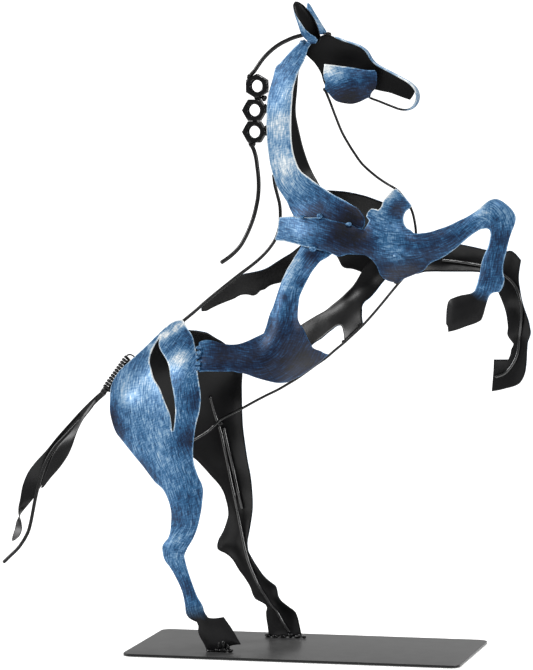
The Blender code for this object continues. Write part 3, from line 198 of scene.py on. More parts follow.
RIGHT_SHOULDER = [
    (-20.5, 331.5), (-14.7, 332.2), (-8.1, 332.5), (-0.6, 332.3), (6.7, 332.3), (12, 332.5), (18.5, 332),
    (23.6, 330.8), (30.6, 329.5), (35.8, 328.4), (40.2, 327.3), (43.7, 325.7), (47.2, 324.8), (50.1, 324.6),
    (51.8, 327.5), (53.5, 330.7), (50.9, 333.7), (51.2, 335.6), (52.5, 338.3), (54, 339.5), (56.8, 339.3),
    (59, 338.7), (60.3, 339.8), (61.7, 344.8), (63.5, 348), (65.5, 350.9), (67.5, 353.4), (70.3, 354),
    (73, 351.4), (76.5, 348.2), (80.2, 345), (83.3, 341.9), (82, 339.7), (80.1, 338.3), (79.1, 335.5),
    (79.4, 332), (80.4, 328.9), (82.6, 325.8), (85.5, 324.3), (88.2, 322), (91.2, 321.8), (94.8, 322.2),
    (100.8, 323.2), (108.6, 325.8), (113.6, 327.5), (118.6, 329.8), (123.6, 332.3), (128.7, 334.7),
    (135.3, 338.8), (141, 343.5), (144.2, 346.1), (146.7, 347.7), (149.6, 348.6), (152.6, 348.5),
    (155.9, 347.1), (159.1, 344.8), (163.8, 340.1), (166.1, 335.6), (165.1, 329.1), (163.5, 325.1),
    (161.1, 317.9), (159.2, 309.2), (157.5, 302), (156.9, 298), (157, 294), (157.8, 290), (156.9, 283.5),
    (155.3, 280.6), (154.1, 279.3), (151.2, 279), (148.7, 278.3), (147, 276.6), (145.8, 274.2),
    (143.9, 268.2), (141.6, 260.4), (140.7, 258.3), (138.3, 256.6), (130, 253.4), (120.8, 250),
    (115.6, 248.7), (114.8, 253.4), (113.8, 254.6), (113.8, 258.7), (114.5, 267.6), (115.3, 270.8),
    (116.6, 272.9), (120, 274.6), (125, 276.4), (130.1, 277.4), (133.4, 278.3), (135.5, 280),
    (136.6, 282.8), (138.9, 291.3), (140.9, 301.6), (143.7, 309), (145.3, 312.1), (146.5, 317),
    (147.2, 323.9), (146.6, 325.6), (145, 326.5), (142.4, 326.4), (139.8, 325.8), (135.5, 323.3),
    (130.5, 319.6), (126.7, 316.4), (119.4, 310.3), (109.8, 304), (99.7, 299.1), (94.3, 293.8),
    (85.2, 289.8), (76, 286), (71, 283.1), (68, 283.5), (64.5, 284.8), (61.7, 287.3), (60.2, 290.3),
    (58.8, 297.2), (57, 300.4), (54.8, 302.8), (50.4, 305.2), (46.8, 305.3), (35.7, 305), (31.3, 303.7),
    (27.6, 304.1), (25, 305.4), (22, 306.5), (15.1, 308), (9.1, 309.3), (0.3, 310.8), (-8.4, 312.5),
    (-14.3, 313.4), (-23, 313.7), (-24.2, 315), (-22.6, 318.6), (-21.6, 323.4), (-21.2, 328.5),
]
RIGHT_SHOULDER_DEPTH = [
    (-22, 330, -3.4), (-24, 315, -3.6), (-12, 322, -11), (0, 330, -16.4), (0, 311, -21), (12, 332, -20),
    (25, 329, -24), (25, 306, -26), (48, 325, -27.5), (48, 306, -29.5), (52, 337, -24), (60, 322, -31),
    (60, 340, -20), (69, 354, -4), (76, 347, -8), (82, 341, -14), (70, 333, -25), (80, 332, -26),
    (72, 316, -31.5), (60, 300, -28), (63, 288, -15), (71, 284, -4), (82, 289, -11), (72, 300, -24.5),
    (95, 296, -23), (88, 322, -29), (90, 308, -32), (110, 304, -30), (110, 326, -32), (120, 318, -34.5),
    (145, 335, -37), (150, 348, -34.5), (165, 337, -34.5), (128, 318, -34), (147, 324, -35.5),
    (150, 305, -37), (159, 308, -34.5), (140, 296, -35), (147, 285, -36), (157, 285, -35), (130, 265, -36),
    (115, 250, -35), (140, 258, -35), (116, 273, -35),
]
LEFT_SHOULDER = [
    (0, 347.5), (-6, 341), (-9, 333.5), (-17, 329), (-18, 317), (-8, 315), (3, 311.5), (12, 306),
    (18.5, 300.3), (19.9, 297.4), (22, 293.2), (23.6, 291.9), (29.7, 291), (35, 289.4), (38, 288.2),
    (46, 287), (58, 288), (66, 288.2), (75, 287.8), (80.8, 287.9), (85, 289.1), (90.9, 289.5),
    (100.8, 289.5), (112.3, 289.6), (123.3, 289.6), (127.6, 289.3), (134, 287), (138.6, 281),
    (141.8, 273.9), (143.7, 269.7), (145.4, 265.2), (147.1, 259.5), (148.2, 253.9), (149, 247.2),
    (148.8, 241.5), (149.9, 239.2), (153.1, 234.9), (152.6, 233), (151.2, 230.1), (150.9, 227.3),
    (149.2, 222.9), (138.3, 222.8), (138, 215.4), (137.5, 208.6), (136.8, 198.2), (142.8, 199.3),
    (148.3, 200.8), (153.8, 202.4), (158.2, 204.7), (161, 208.7), (162.7, 213.2), (163.5, 218.9),
    (164, 231.4), (164.6, 237), (166, 240.4), (166.8, 243.2), (166.2, 248.3), (165.3, 252.8),
    (163.3, 258.4), (161.4, 264), (159.8, 269.6), (158.5, 276.4), (157.5, 282), (157.3, 287),
    (157.7, 290.8), (159.2, 298.9), (157, 301.6), (154.2, 304.5), (151.5, 306.2), (149.3, 306),
    (147.1, 305.2), (138, 305.6), (131.7, 306.8), (120.6, 309.2), (112.4, 310.8), (100, 312.5), (88, 314.3),
    (77, 316.5), (69.6, 321), (66.4, 330), (62, 339), (55, 342.7), (48.6, 345), (43, 347), (35.4, 349),
    (28, 350.5), (19, 351.4), (11.6, 351.6), (5, 350.3),
]
LEFT_SHOULDER_DEPTH = [
    (-16, 328, 4.5), (-17, 318, 4.5), (-6, 340, 8), (0, 325, 14), (5, 350, 10), (20, 351, 14),
    (20, 330, 20), (12, 306, 18.5), (21, 296, 24), (38, 348, 18), (55, 343, 19), (45, 320, 28),
    (36, 290, 25.5), (50, 290, 26), (62, 338, 18), (67, 325, 25), (65, 310, 30), (66, 289, 26),
    (88, 318, 24), (85, 302, 32), (85, 290, 29), (110, 311, 31), (110, 300, 35), (112, 290, 32),
    (138, 305, 33), (130, 297, 36), (128, 290, 33.5), (150, 306, 34), (159, 298, 34.5), (149, 290, 37),
    (145, 266, 34.5), (161, 264, 34.5), (153, 262, 37.5), (149, 243, 35), (166, 243, 35.5), (158, 240, 38),
    (163, 215, 35), (138, 222, 35), (137, 199, 35), (152, 212, 37), (158, 205, 35),
]
RIGHT_NECK = [
    (-1.6, 466.6), (4, 462.6), (1.6, 458.6), (0.6, 454.6), (-2, 448), (-3.8, 444.6), (-5.3, 440.7),
    (-6.6, 436.7), (-8, 431.5), (-9.2, 419.4), (-9.8, 403.2), (-9.8, 395.2), (-9.2, 387.3), (-8.1, 381.3),
    (-6.5, 376.2), (-3.3, 369.1), (-1.2, 366.5), (2, 364.1), (6.2, 361.2), (14.7, 355.4), (19, 353.1),
    (23.8, 350.1), (34.4, 345), (39.6, 342), (44, 339.6), (46.5, 336.8), (48.6, 334), (49.5, 331.8),
    (49.7, 327.5), (46, 322), (30, 323), (10, 325), (-6, 326.5), (-8.4, 332.7), (-11.9, 338), (-14, 342.4),
    (-18.6, 348.9), (-20.9, 352), (-23.2, 356.1), (-24.9, 361.2), (-28, 371.4), (-29.1, 377.5),
    (-30, 383.7), (-31, 396.9), (-31, 405), (-30.4, 419), (-29.7, 424), (-27.5, 432.2), (-25.3, 440.2),
    (-24.4, 444.3), (-23.4, 446.3), (-21.1, 447.9), (-18.3, 450.9), (-15.1, 454.3), (-11.7, 457.9),
    (-5, 464),
]
RIGHT_NECK_DEPTH = [
    (-4, 465, -3.4), (3, 462, -5.5), (-18, 451, -2.6), (-29, 425, -2.6), (-31, 400, -2.6), (-29, 377, -2.6),
    (-21, 352, -3), (-12, 338, -6), (0.6, 454.6, -6.5), (-7, 435, -10), (-10, 400, -12), (-7, 378, -13),
    (2, 364, -15), (-20, 410, -8.5), (-14, 360, -9), (20, 352.5, -19), (40, 342, -22), (50, 331, -24.5),
    (0, 330, -14.6), (12, 332, -18.2), (25, 329, -22.2), (46, 323, -25.7), (46, 336, -23.5),
    (10, 345, -15.5), (-6, 327, -12), (10, 325, -18),
]
LEFT_NECK = [
    (-6, 462), (-2.4, 458), (-2.4, 454.6), (-7.6, 443.2), (-10, 427.3), (-11.2, 409.8), (-8.8, 397),
    (-4.7, 380.9), (-0.4, 369.3), (5.7, 359), (9.9, 352.8), (18, 346), (25, 340), (24, 333), (8, 331),
    (-7, 334.5), (-15, 346), (-20.5, 355), (-26, 375), (-28.5, 395), (-28.3, 410), (-26, 428), (-19, 446.5),
    (-11, 457),
]
LEFT_NECK_DEPTH = [
    (-6, 461, 3.2), (-19, 446, 2.8), (-26, 428, 2.8), (-28.5, 400, 2.8), (-26, 375, 2.8), (-20, 355, 3),
    (-8, 335, 4.5), (-2.4, 456, 4), (-9, 435, 9), (-11, 410, 11.5), (-8.8, 397, 12), (-4.7, 381, 12.5),
    (0, 369, 12.8), (9.9, 352.8, 8.6), (-19, 405, 7.5), (8, 332, 11.5), (24, 334, 17.5), (18, 346, 13),
]
HEAD_PLATE = [
    (-3, 455.4), (0.2, 452.3), (3.7, 448.9), (6.8, 444.7), (9.5, 439.8), (11, 434.9), (12.4, 431.8),
    (20, 428.5), (35, 427.5), (49.9, 428.7), (55.9, 427.4), (63, 426), (66.8, 424.7), (74.6, 422),
    (78.4, 420.9), (80.9, 424.5), (82.2, 428), (81.6, 431), (78.6, 433.8), (73.8, 436.4), (67.6, 439.7),
    (62.2, 442.5), (56.8, 445.2), (53.2, 447.3), (50.7, 449.6), (49, 451.7), (47.5, 454.4), (45.2, 457.6),
    (42.8, 459.7), (39.7, 461.4), (35, 463.1), (30.2, 464.6), (21.4, 467.8), (15.4, 469.8), (10.7, 469.6),
    (6.5, 467), (0.4, 462.2), (-1.3, 459.1),
]
HEAD_PLATE_DEPTH = [
    (-3, 455.4, HEAD_Y + 0.6), (12, 432, HEAD_Y), (35, 428, HEAD_Y), (78, 421, HEAD_Y), (81, 428, HEAD_Y),
    (64, 433, HEAD_Y + 2), (30, 447, HEAD_Y + 3.5), (50, 447, HEAD_Y), (40, 459, HEAD_Y), (15, 469, HEAD_Y),
    (12, 452, HEAD_Y + 2.5),
]
CHEEK_PLATE = [
    (15.4, 448), (20, 447.6), (27.7, 446.6), (35.4, 445.7), (43.1, 444.4), (50.1, 443.5), (54, 443.5),
    (55.5, 441.5), (55.7, 437), (55.5, 433.2), (54.4, 429.8), (52.4, 427.6), (50.9, 425.3), (50.4, 423.4),
    (47, 421.9), (43.9, 420.3), (40.1, 418.8), (36.2, 418), (31.6, 418.3), (27.7, 419), (23.8, 420.4),
    (21.5, 422.3), (19.2, 425), (16.9, 427.6), (15.4, 429.5), (15.6, 432.1), (16.4, 434.2), (15, 436.7),
    (14.5, 441.2), (14.9, 445),
]
CHEEK_PLATE_DEPTH = [
    (15.4, 448, -9.5), (35, 445.6, -11.5), (55, 443, -9.5), (55.5, 433, -8.5), (50.5, 424, -7.6),
    (36, 418, -8), (21, 422, -8), (15, 430, -8), (14.6, 441, -8.6), (35, 432, -14.5), (24, 436, -12.5),
    (46, 434, -13),
]
# The strip round the head, as (x, z, half its width): poll, forehead, nose, chin and back to the cheek.
MUZZLE_PATH = [
    (21.4, 468.2, 3.4), (30.4, 464.9, 3.4), (35.4, 463.4, 3.5), (40, 461.7, 3.6), (43.2, 459.9, 3.6),
    (45.6, 457.9, 3.6), (47.9, 454.7, 3.6), (49.4, 452, 3.6), (51.2, 449.8, 3.6), (53.6, 447.6, 3.6),
    (57.2, 445.5, 3.6), (62.6, 442.8, 3.6), (68, 440, 3.8), (74.2, 436.7, 4), (79, 434, 4.2),
    (82.1, 431.4, 4.4), (84.4, 428.1, 4.6), (85.4, 424.5, 4.6), (85.1, 420.9, 4.4), (83.3, 417.2, 4),
    (80.7, 414.8, 3.2), (76.7, 413.6, 2.6), (71.7, 414, 2.3), (66.1, 415.9, 2), (60, 418.2, 1.8),
    (54.3, 420.4, 1.6), (51, 421.5, 1.6), (48, 422.8, 1.6),
]
# Each ear from tip to base: left x and z, right x and z, degrees that the cup wraps past its left edge.
RIGHT_EAR = [
    (-7.3, 495.1, -5.6, 495, 0), (-8.6, 493, -2.7, 493.3, 6), (-8.6, 490.1, 0.4, 490.5, 18),
    (-8, 486.7, 3.5, 487.1, 32), (-6.7, 482.6, 6.4, 483, 46), (-5.2, 478.5, 8.5, 478.9, 60),
    (-4, 474.7, 10.1, 474.7, 71), (-2.7, 471.3, 11.2, 470.6, 84), (-0.4, 467.9, 11.6, 467.2, 102),
    (2.4, 465.2, 10.7, 465, 125), (4, 463.4, 9, 463.4, 130),
]
LEFT_EAR = [
    (-1.8, 493.8, -0.9, 493.9, 0), (-2.1, 490.9, 1.2, 491.4, 0), (-2.3, 487.8, 3.5, 488.1, 5),
    (-1.6, 484.4, 5.8, 484.8, 10), (-0.5, 481, 8.2, 481.3, 20), (0.9, 477.6, 10.3, 478.1, 35),
    (2.5, 474.6, 12.4, 475, 60), (4.2, 471.9, 13.9, 472.1, 95), (6.4, 470, 12.6, 470.2, 125),
]
RIGHT_EAR_Y, LEFT_EAR_Y = -8.4, 9.2
# Twisted tail strips, as pairs of edge points (x, y, z).
TAIL_STRIP_BACK = [
    ((-161.9, 1, 196), (-159.2, 2.6, 192.8)), ((-168.9, 0.8, 189.8), (-166.1, 3, 186.8)),
    ((-180, 1.2, 179), (-176.8, 4.5, 175.4)), ((-188.4, 1.8, 170), (-184.4, 6, 165)),
    ((-198.5, 2, 158.9), (-191, 7, 153.5)), ((-208, 2.2, 147.4), (-199.5, 7, 141)),
    ((-216.5, 3, 138.5), (-206.5, 6.5, 130)), ((-223, 4, 130), (-211.5, 6, 121.5)),
    ((-227.3, 4, 119.5), (-215.5, 4.6, 114.5)), ((-229, 3, 109.4), (-219.5, 3.4, 108.5)),
    ((-229.6, 0.4, 103), (-225.2, 5, 102.2)), ((-229, -1.5, 98.5), (-228.4, 5.5, 98.5)),
    ((-226.8, -0.8, 91.5), (-231.6, 2, 92)), ((-226.2, -2.2, 85.7), (-232.7, 0.9, 86)),
    ((-227.9, -4, 81), (-234.1, -1.2, 80.2)), ((-231.6, -4.2, 77.8), (-233.9, -3.2, 77.2)),
]
TAIL_STRIP_FRONT = [
    ((-166, -2.4, 190), (-164.4, -3.4, 188.4)), ((-172.8, -3.2, 181.2), (-171, -4.6, 179.4)),
    ((-177.2, -3.4, 175.6), (-175.4, -5.4, 173.8)), ((-181.7, -3.4, 169.4), (-178.6, -6.4, 167.6)),
    ((-187.8, -3.4, 161.6), (-181.2, -7, 160.8)), ((-195, -3.4, 153.6), (-184, -6.5, 153)),
    ((-200.6, -3.4, 145), (-188, -5.5, 145)), ((-204.6, -3.2, 135.6), (-194.5, -4.8, 135.8)),
    ((-207.8, -3, 127), (-202, -3.8, 127.5)), ((-210.4, -2.8, 119), (-208.4, -3, 119.6)),
]
# Bent rods, as (x, y, z) along the middle.
TAIL_ROD = [
    (-178.2, -1, 173.6), (-186.4, -1, 165), (-192.8, -1, 158.4), (-199.2, -1, 151.6), (-204.6, -1, 143.6),
    (-208.6, -1, 135), (-211.3, -1, 127), (-213.6, -1, 118.5), (-215.6, -1, 110), (-217.4, -1, 101),
    (-219.2, -1, 92.1), (-221.5, -1, 84.2), (-225.4, -1, 77.1), (-230.2, -1, 70.7), (-236.6, -1, 64.6),
    (-241.7, -1, 59.6),
]
MANE_ROD_UPPER = [
    (-2.6, 0, 469.9), (-9.8, 0, 468), (-16.2, 0, 465.4), (-22.6, 0, 462), (-29.1, 0, 457),
    (-34.3, 0, 451.7), (-38.8, 0, 445.6), (-41, 0, 442.4), (-42.9, 0, 440.4), (-44.6, 0, 438.4),
]
MANE_ROD_LOWER = [
    (-43.2, 0, 388), (-43, 0, 386), (-41.3, 0, 381.6), (-40, 0, 377), (-38.9, 0, 369.4), (-38, 0, 361.8),
    (-37.8, 0, 354.2), (-38.3, 0, 346.6), (-39.7, 0, 339), (-41.7, 0, 331.3), (-44.5, 0, 323.6),
    (-48.4, 0, 315.3), (-52.3, 0, 308.8), (-57.5, 0, 303.2), (-62.7, 0, 299), (-67.7, 0, 295.7),
]
SPINE_ROD = [
    (-26.2, 0, 364), (-25.2, 0, 356), (-23.4, 0, 349), (-21.4, 0, 341), (-20.9, 0, 333), (-22, 0, 322),
    (-25, 0, 314), (-30.2, 0, 306.5), (-36.2, 0, 300.2), (-43.2, 0, 294.3), (-51.4, 0, 288.2),
    (-66.2, 0, 276.6), (-80.8, 0, 264.6), (-89.5, 0, 257), (-94.2, 0, 253.2), (-97.4, 0, 250.6),
]
BELLY_ROD = [
    (15.2, -5.4, 428), (17.2, -4.6, 423), (23.4, -3, 406.5), (27.4, -2, 396.5), (32, -1, 388), (37, 0, 380),
    (42.6, 0, 372.5), (48.6, 0, 367), (55, 0, 362), (64.2, 0, 356.3), (67.3, 0, 354.6), (70.4, 0, 352.4),
    (73.8, 0, 348.5), (76.9, 0, 344.7), (79.6, 0, 340.6), (81.7, 0, 335.7), (83, 0, 330.4),
    (84.2, 0, 322.1), (84, 0, 312), (80.8, 0, 298), (75.5, 0, 287.8), (70, 0, 281.1), (65, 0, 275.1),
    (59.3, 0, 268.1), (50.7, 0, 257.9), (43.4, 0, 249.9), (36.2, 0, 243.1), (29, 0, 236.5),
    (21.8, 0, 230.5), (14.4, 0, 224.2), (6.9, 0, 219), (-0.4, 0, 213.6), (-7.7, 0, 208.4), (-15, 0, 203.9),
    (-22.3, 0, 199.6), (-32.5, 0, 194.5), (-42.7, 0, 189), (-49.8, 0, 185), (-58.6, 0, 180.4),
    (-68, -2, 175), (-71.4, -8, 171.2), (-73.5, -18, 168.2), (-78, -30, 164.6), (-80.8, -41, 162.6),
]
# Stiffening rods on the inner face of the left legs, as (x, z); the depth comes from the sheet behind them.
HIND_ROD_TOP = [(-85.8, 189.3), (-84, 181), (-82, 173.4), (-80.4, 168.6)]
HIND_ROD_LONG = [
    (-79.6, 166.5), (-78.3, 162.3), (-75.6, 150.6), (-72, 132.2), (-69.9, 122.6), (-67.1, 111.8),
    (-65.3, 102), (-62.6, 88.4), (-60.2, 77.5), (-58, 68.4), (-55.2, 59.4), (-51.4, 50.4), (-46.7, 40.6),
    (-42, 33.6), (-37.3, 26.4), (-32.6, 21), (-29.8, 15.6), (-26, 9.7), (-23, 5.5),
]
HIND_ROD_SHORT = [(-75.8, 165), (-71.8, 148), (-68, 131), (-63.8, 113.5), (-61.2, 101)]
FORE_ROD = [
    (98.2, 298.6), (105.5, 297.9), (113, 297), (120.6, 295.9), (128.2, 294.6), (138, 291.5), (146.5, 287),
    (153.5, 280.8), (158.1, 271), (159.5, 260.3), (159, 250), (157.6, 239.6), (156.7, 228.6), (153, 219.5),
    (145.9, 211.7), (139.6, 209.4),
]
# Each nut of the mane, as (x, z, its turn in degrees).
NUT_CENTRES = [(-38.9, 430.9, 30), (-40.9, 412.6, 0), (-40.9, 412.6 - NUT_AF - GAP, 0)]
SPRING_TOP, SPRING_BOTTOM = (-141.2, 0.0, 220.8), (-158.4, 0.0, 197.0)
SPRING_HOOK = [(-135.4, 0, 221.6), (-137.4, 0, 223.4), (-140, 0, 224), (-142, 0.2, 223.2), (-143, 0.4, 221.4)]
# Where the colour is painted lighter or darker, as (x, z, radius in mm, amount): paint tone, painted
# highlights and painted shade.
RIGHT_HAUNCH_TONE_HIGHLIGHT_SHADE = [
    (-92, 250.8, 2.6, 0.3), (-97, 248.4, 2.6, 0.34), (-102, 245.2, 2.6, 0.36), (-107, 241.6, 2.6, 0.34),
    (-112, 238, 2.6, 0.26), (-120, 230, 3, 0.14), (-138, 192, 6, 0.08), (-130, 195, 6.5, 0.05),
    (-122, 201, 7, 0.06), (-114, 208, 6, 0.1), (-109, 210, 4, 0.1), (-97, 220, 4, 0.18),
    (-91, 225, 4.5, 0.24), (-85.5, 229, 4, 0.14), (-140, 205, 8, 0.06), (-107, 174, 12, 0.05),
    (-102, 152, 9, 0.06), (-86, 234, 5, -0.12), (-80, 194, 7, -0.16), (-84, 164, 8, -0.2),
    (-106, 117, 9, 0.04), (-92, 102, 7, -0.12), (-81, 118, 5, -0.12), (-92, 87, 6, 0.08),
    (-96, 72, 6, 0.02), (-85, 49, 6, -0.12), (-118, 139, 8, -0.12), (-151, 176, 8, -0.24),
    (-146, 166, 8, -0.12), (-96, 241, 5, -0.06),
]
RIGHT_FLANK_TONE_HIGHLIGHT_SHADE = [
    (-7, 299, 8, 0.26), (9, 304, 4, -0.24), (4, 296, 4, -0.14), (1, 285, 3, -0.14), (-8, 272, 3, -0.14),
    (-14, 283, 8, 0.16), (-20, 263, 6, 0.06), (-9, 248, 11, -0.12), (1, 232, 14, -0.16),
    (-14, 217, 12, -0.2), (-36, 225, 12, -0.2), (-56, 232, 9, -0.14), (-73, 234, 6, 0.06),
    (-63, 223, 9, -0.16), (5, 224, 8, -0.16),
]
RIGHT_SHOULDER_TONE_HIGHLIGHT_SHADE = [
    (-2, 330, 4, 0.06), (-1, 322, 4, 0.03), (-2, 313, 4, 0.08), (-16, 323, 8, 0.05), (31, 319, 11, -0.3),
    (35, 330, 5, -0.1), (47, 318, 9, -0.26), (63, 346, 5, 0.18), (68, 351, 4, 0.18), (72, 340, 5, -0.25),
    (67, 328, 9, 0.03), (57, 305, 7, -0.08), (76, 304, 4, 0.12), (61, 322, 4, 0.06), (65, 312, 4, 0.06),
    (138, 341, 3.5, 0.2), (70, 289, 8, -0.24), (87, 294, 8, -0.22), (101, 310, 11, -0.14),
    (118, 316, 9, -0.08), (60, 337, 4, 0.12), (140, 339, 6, 0.04), (147, 344, 7, 0.1), (161, 337, 5, 0.08),
    (153, 326, 6, -0.06), (153, 302, 6, -0.08), (158, 318, 5, -0.14), (144, 290, 5, -0.1),
]
RIGHT_NECK_TONE_HIGHLIGHT_SHADE = [
    (-5, 458, 7, 0.03), (-12, 428, 6, 0.1), (-19, 404, 12, 0.24), (-20, 376, 12, 0.16),
    (-11, 367, 10, 0.16), (-20, 388, 6, -0.04), (1, 349, 8, 0.02), (22, 346, 7, -0.08), (44, 336, 8, -0.3),
    (34, 327, 9, -0.36), (8, 331, 9, -0.26), (-23, 413, 5, -0.05), (-28, 443, 4, -0.05),
]
CHEEK_TONE_HIGHLIGHT_SHADE = [
    (16, 446, 5, 0.3), (24, 443, 8, 0.16), (49, 441, 6, -0.05), (54, 430, 5, -0.22), (35, 423, 9, -0.42),
    (20, 427, 6, -0.08), (28, 435, 5, 0.08),
]
# Weld beads, as (x, y, z, radius along x, along y, along z) in mm.
BLACK_BEADS = [
    (-38.4, 0, 421.7, 3, 2.4, 1.9), (-40.7, 0, 404.8, 1.8, 2.2, 1.2), (-31.9, 0, 430.8, 2.2, 2.4, 3),
    (-33.4, 0, 421.8, 2.2, 2.2, 2.4), (-32.4, 0, 413.8, 1.5, 2.2, 3.6), (-32.4, 0, 397, 1.6, 2.2, 3.8),
    (-43, 0, 386.6, 2.8, 2.4, 2.8), (-45.2, 0, 437.8, 2, 2, 2.2), (-97.4, 0, 250.4, 1.8, 1.6, 1.6),
    (-78.3, 42, 167.8, 2.8, 1.6, 1.8), (-60.6, -41, 3.6, 2.2, 1.8, 1.4), (-59.4, -41.2, 7, 1.3, 1.4, 3.6),
    (-55.6, -41.4, 7.8, 1.5, 1.5, 4.2), (-52.2, -41.2, 6, 1.3, 1.4, 3.2), (-56, -41, 3.6, 3.6, 2.2, 1.8),
    (-50.6, -41, 3.4, 2.6, 2, 1.5), (-66.5, -41, 3, 3, 1.8, 1), (-11.2, 40.4, 3, 1.8, 1.4, 1),
    (-39.6, 40.3, 3.2, 2.6, 2.4, 1.6), (-34, 40.5, 3, 3, 2.2, 1.4), (-27.8, 40.3, 3.1, 3, 2.4, 1.6),
    (-21.6, 40.5, 4.2, 2.4, 2.2, 2.2), (-16, 40.5, 3.4, 3, 2.2, 1.6), (70, -1.6, 283, 2.2, 1.6, 1.4),
    (47, -6.6, 423.4, 1.7, 1.4, 1.2), (28.6, 0.8, 237, 2, 1.6, 1.4), (40.6, 1.6, 249.6, 2, 1.6, 1.4),
    (-160.4, 0, 194.8, 2.6, 2.4, 2.6), (-159, -0.4, 196.6, 2.8, 2.4, 2.4), (14.6, 6, 470.2, 3, 2, 1.7),
    (14.6, -5.4, 428.6, 1.2, 1.4, 1.4), (-80.6, -41.8, 162.8, 1.6, 1.4, 1.6),
]
BLUE_BEADS = [
    (0, -17.4, 332.8, 1.8, 1.6, 1.4), (14, -20.6, 333.4, 2.4, 2, 2.4), (38, -26.4, 328.2, 2.4, 2, 1.6),
    (10, -25, 309, 3, 1.8, 2.2), (75.4, -29.4, 304.6, 3.2, 1.2, 3.2), (-77, -31, 233, 2.6, 2, 1.6),
    (-76.4, -33.4, 229.4, 2.2, 2, 1.8), (-77.2, -35.6, 226.2, 1.6, 1.8, 1.8),
    (-76.2, -38.4, 221.6, 2.4, 2, 2), (-75.6, -40, 218.2, 1.8, 1.8, 1.6), (-3, -4.6, 464, 2.2, 1.6, 1.8),
    (3.4, -9, 464.2, 1.8, 1.6, 1.6),
]


class Side(Enum):
    """Which way a sheet's painted outside faces."""

    RIGHT = -1.0
    LEFT = 1.0


def linear(code: str) -> tuple[float, float, float, float]:
    """Turns an sRGB hex colour to linear values.

    Args:
        code: Six hex digits, with or without a leading hash sign.

    Returns:
        Linear red, green and blue, with an alpha of one.
    """
    shares = [int(code.lstrip("#")[i : i + 2], 16) / 255 for i in (0, 2, 4)]
    red, green, blue = (s / 12.92 if s <= 0.04045 else ((s + 0.055) / 1.055) ** 2.4 for s in shares)
    return red, green, blue, 1.0


def add_node(tree: Any, kind: str, inputs: dict[Any, Any] | None = None, **settings: Any) -> Any:
    """Adds a shader node.

    Args:
        tree: The node tree that gets the node.
        kind: The node's type, without its ShaderNode prefix.
        inputs: Values for its sockets, or output sockets to link to them.
        settings: The node's own properties.

    Returns:
        The new node.
    """
    made = tree.nodes.new("ShaderNode" + kind)
    for name, value in settings.items():
        setattr(made, name, value)
    for name, value in (inputs or {}).items():
        if isinstance(value, bpy.types.NodeSocket):
            tree.links.new(value, made.inputs[name])
        else:
            made.inputs[name].default_value = value
    return made


def add_ramp(tree: Any, factor: Any, stops: Sequence[tuple[float, str]]) -> Any:
    """Adds a colour ramp with hex stops.

    Args:
        tree: The node tree.
        factor: The socket that drives it.
        stops: Places and sRGB hex colours.

    Returns:
        The ramp's colour socket.
    """
    ramp = add_node(tree, "ValToRGB", {"Fac": factor})
    elements = ramp.color_ramp.elements
    for place, code in stops[1:-1]:
        elements.new(place)
    for element, (place, code) in zip(elements, stops):
        element.position = place
        element.color = linear(code)
    return ramp.outputs["Color"]


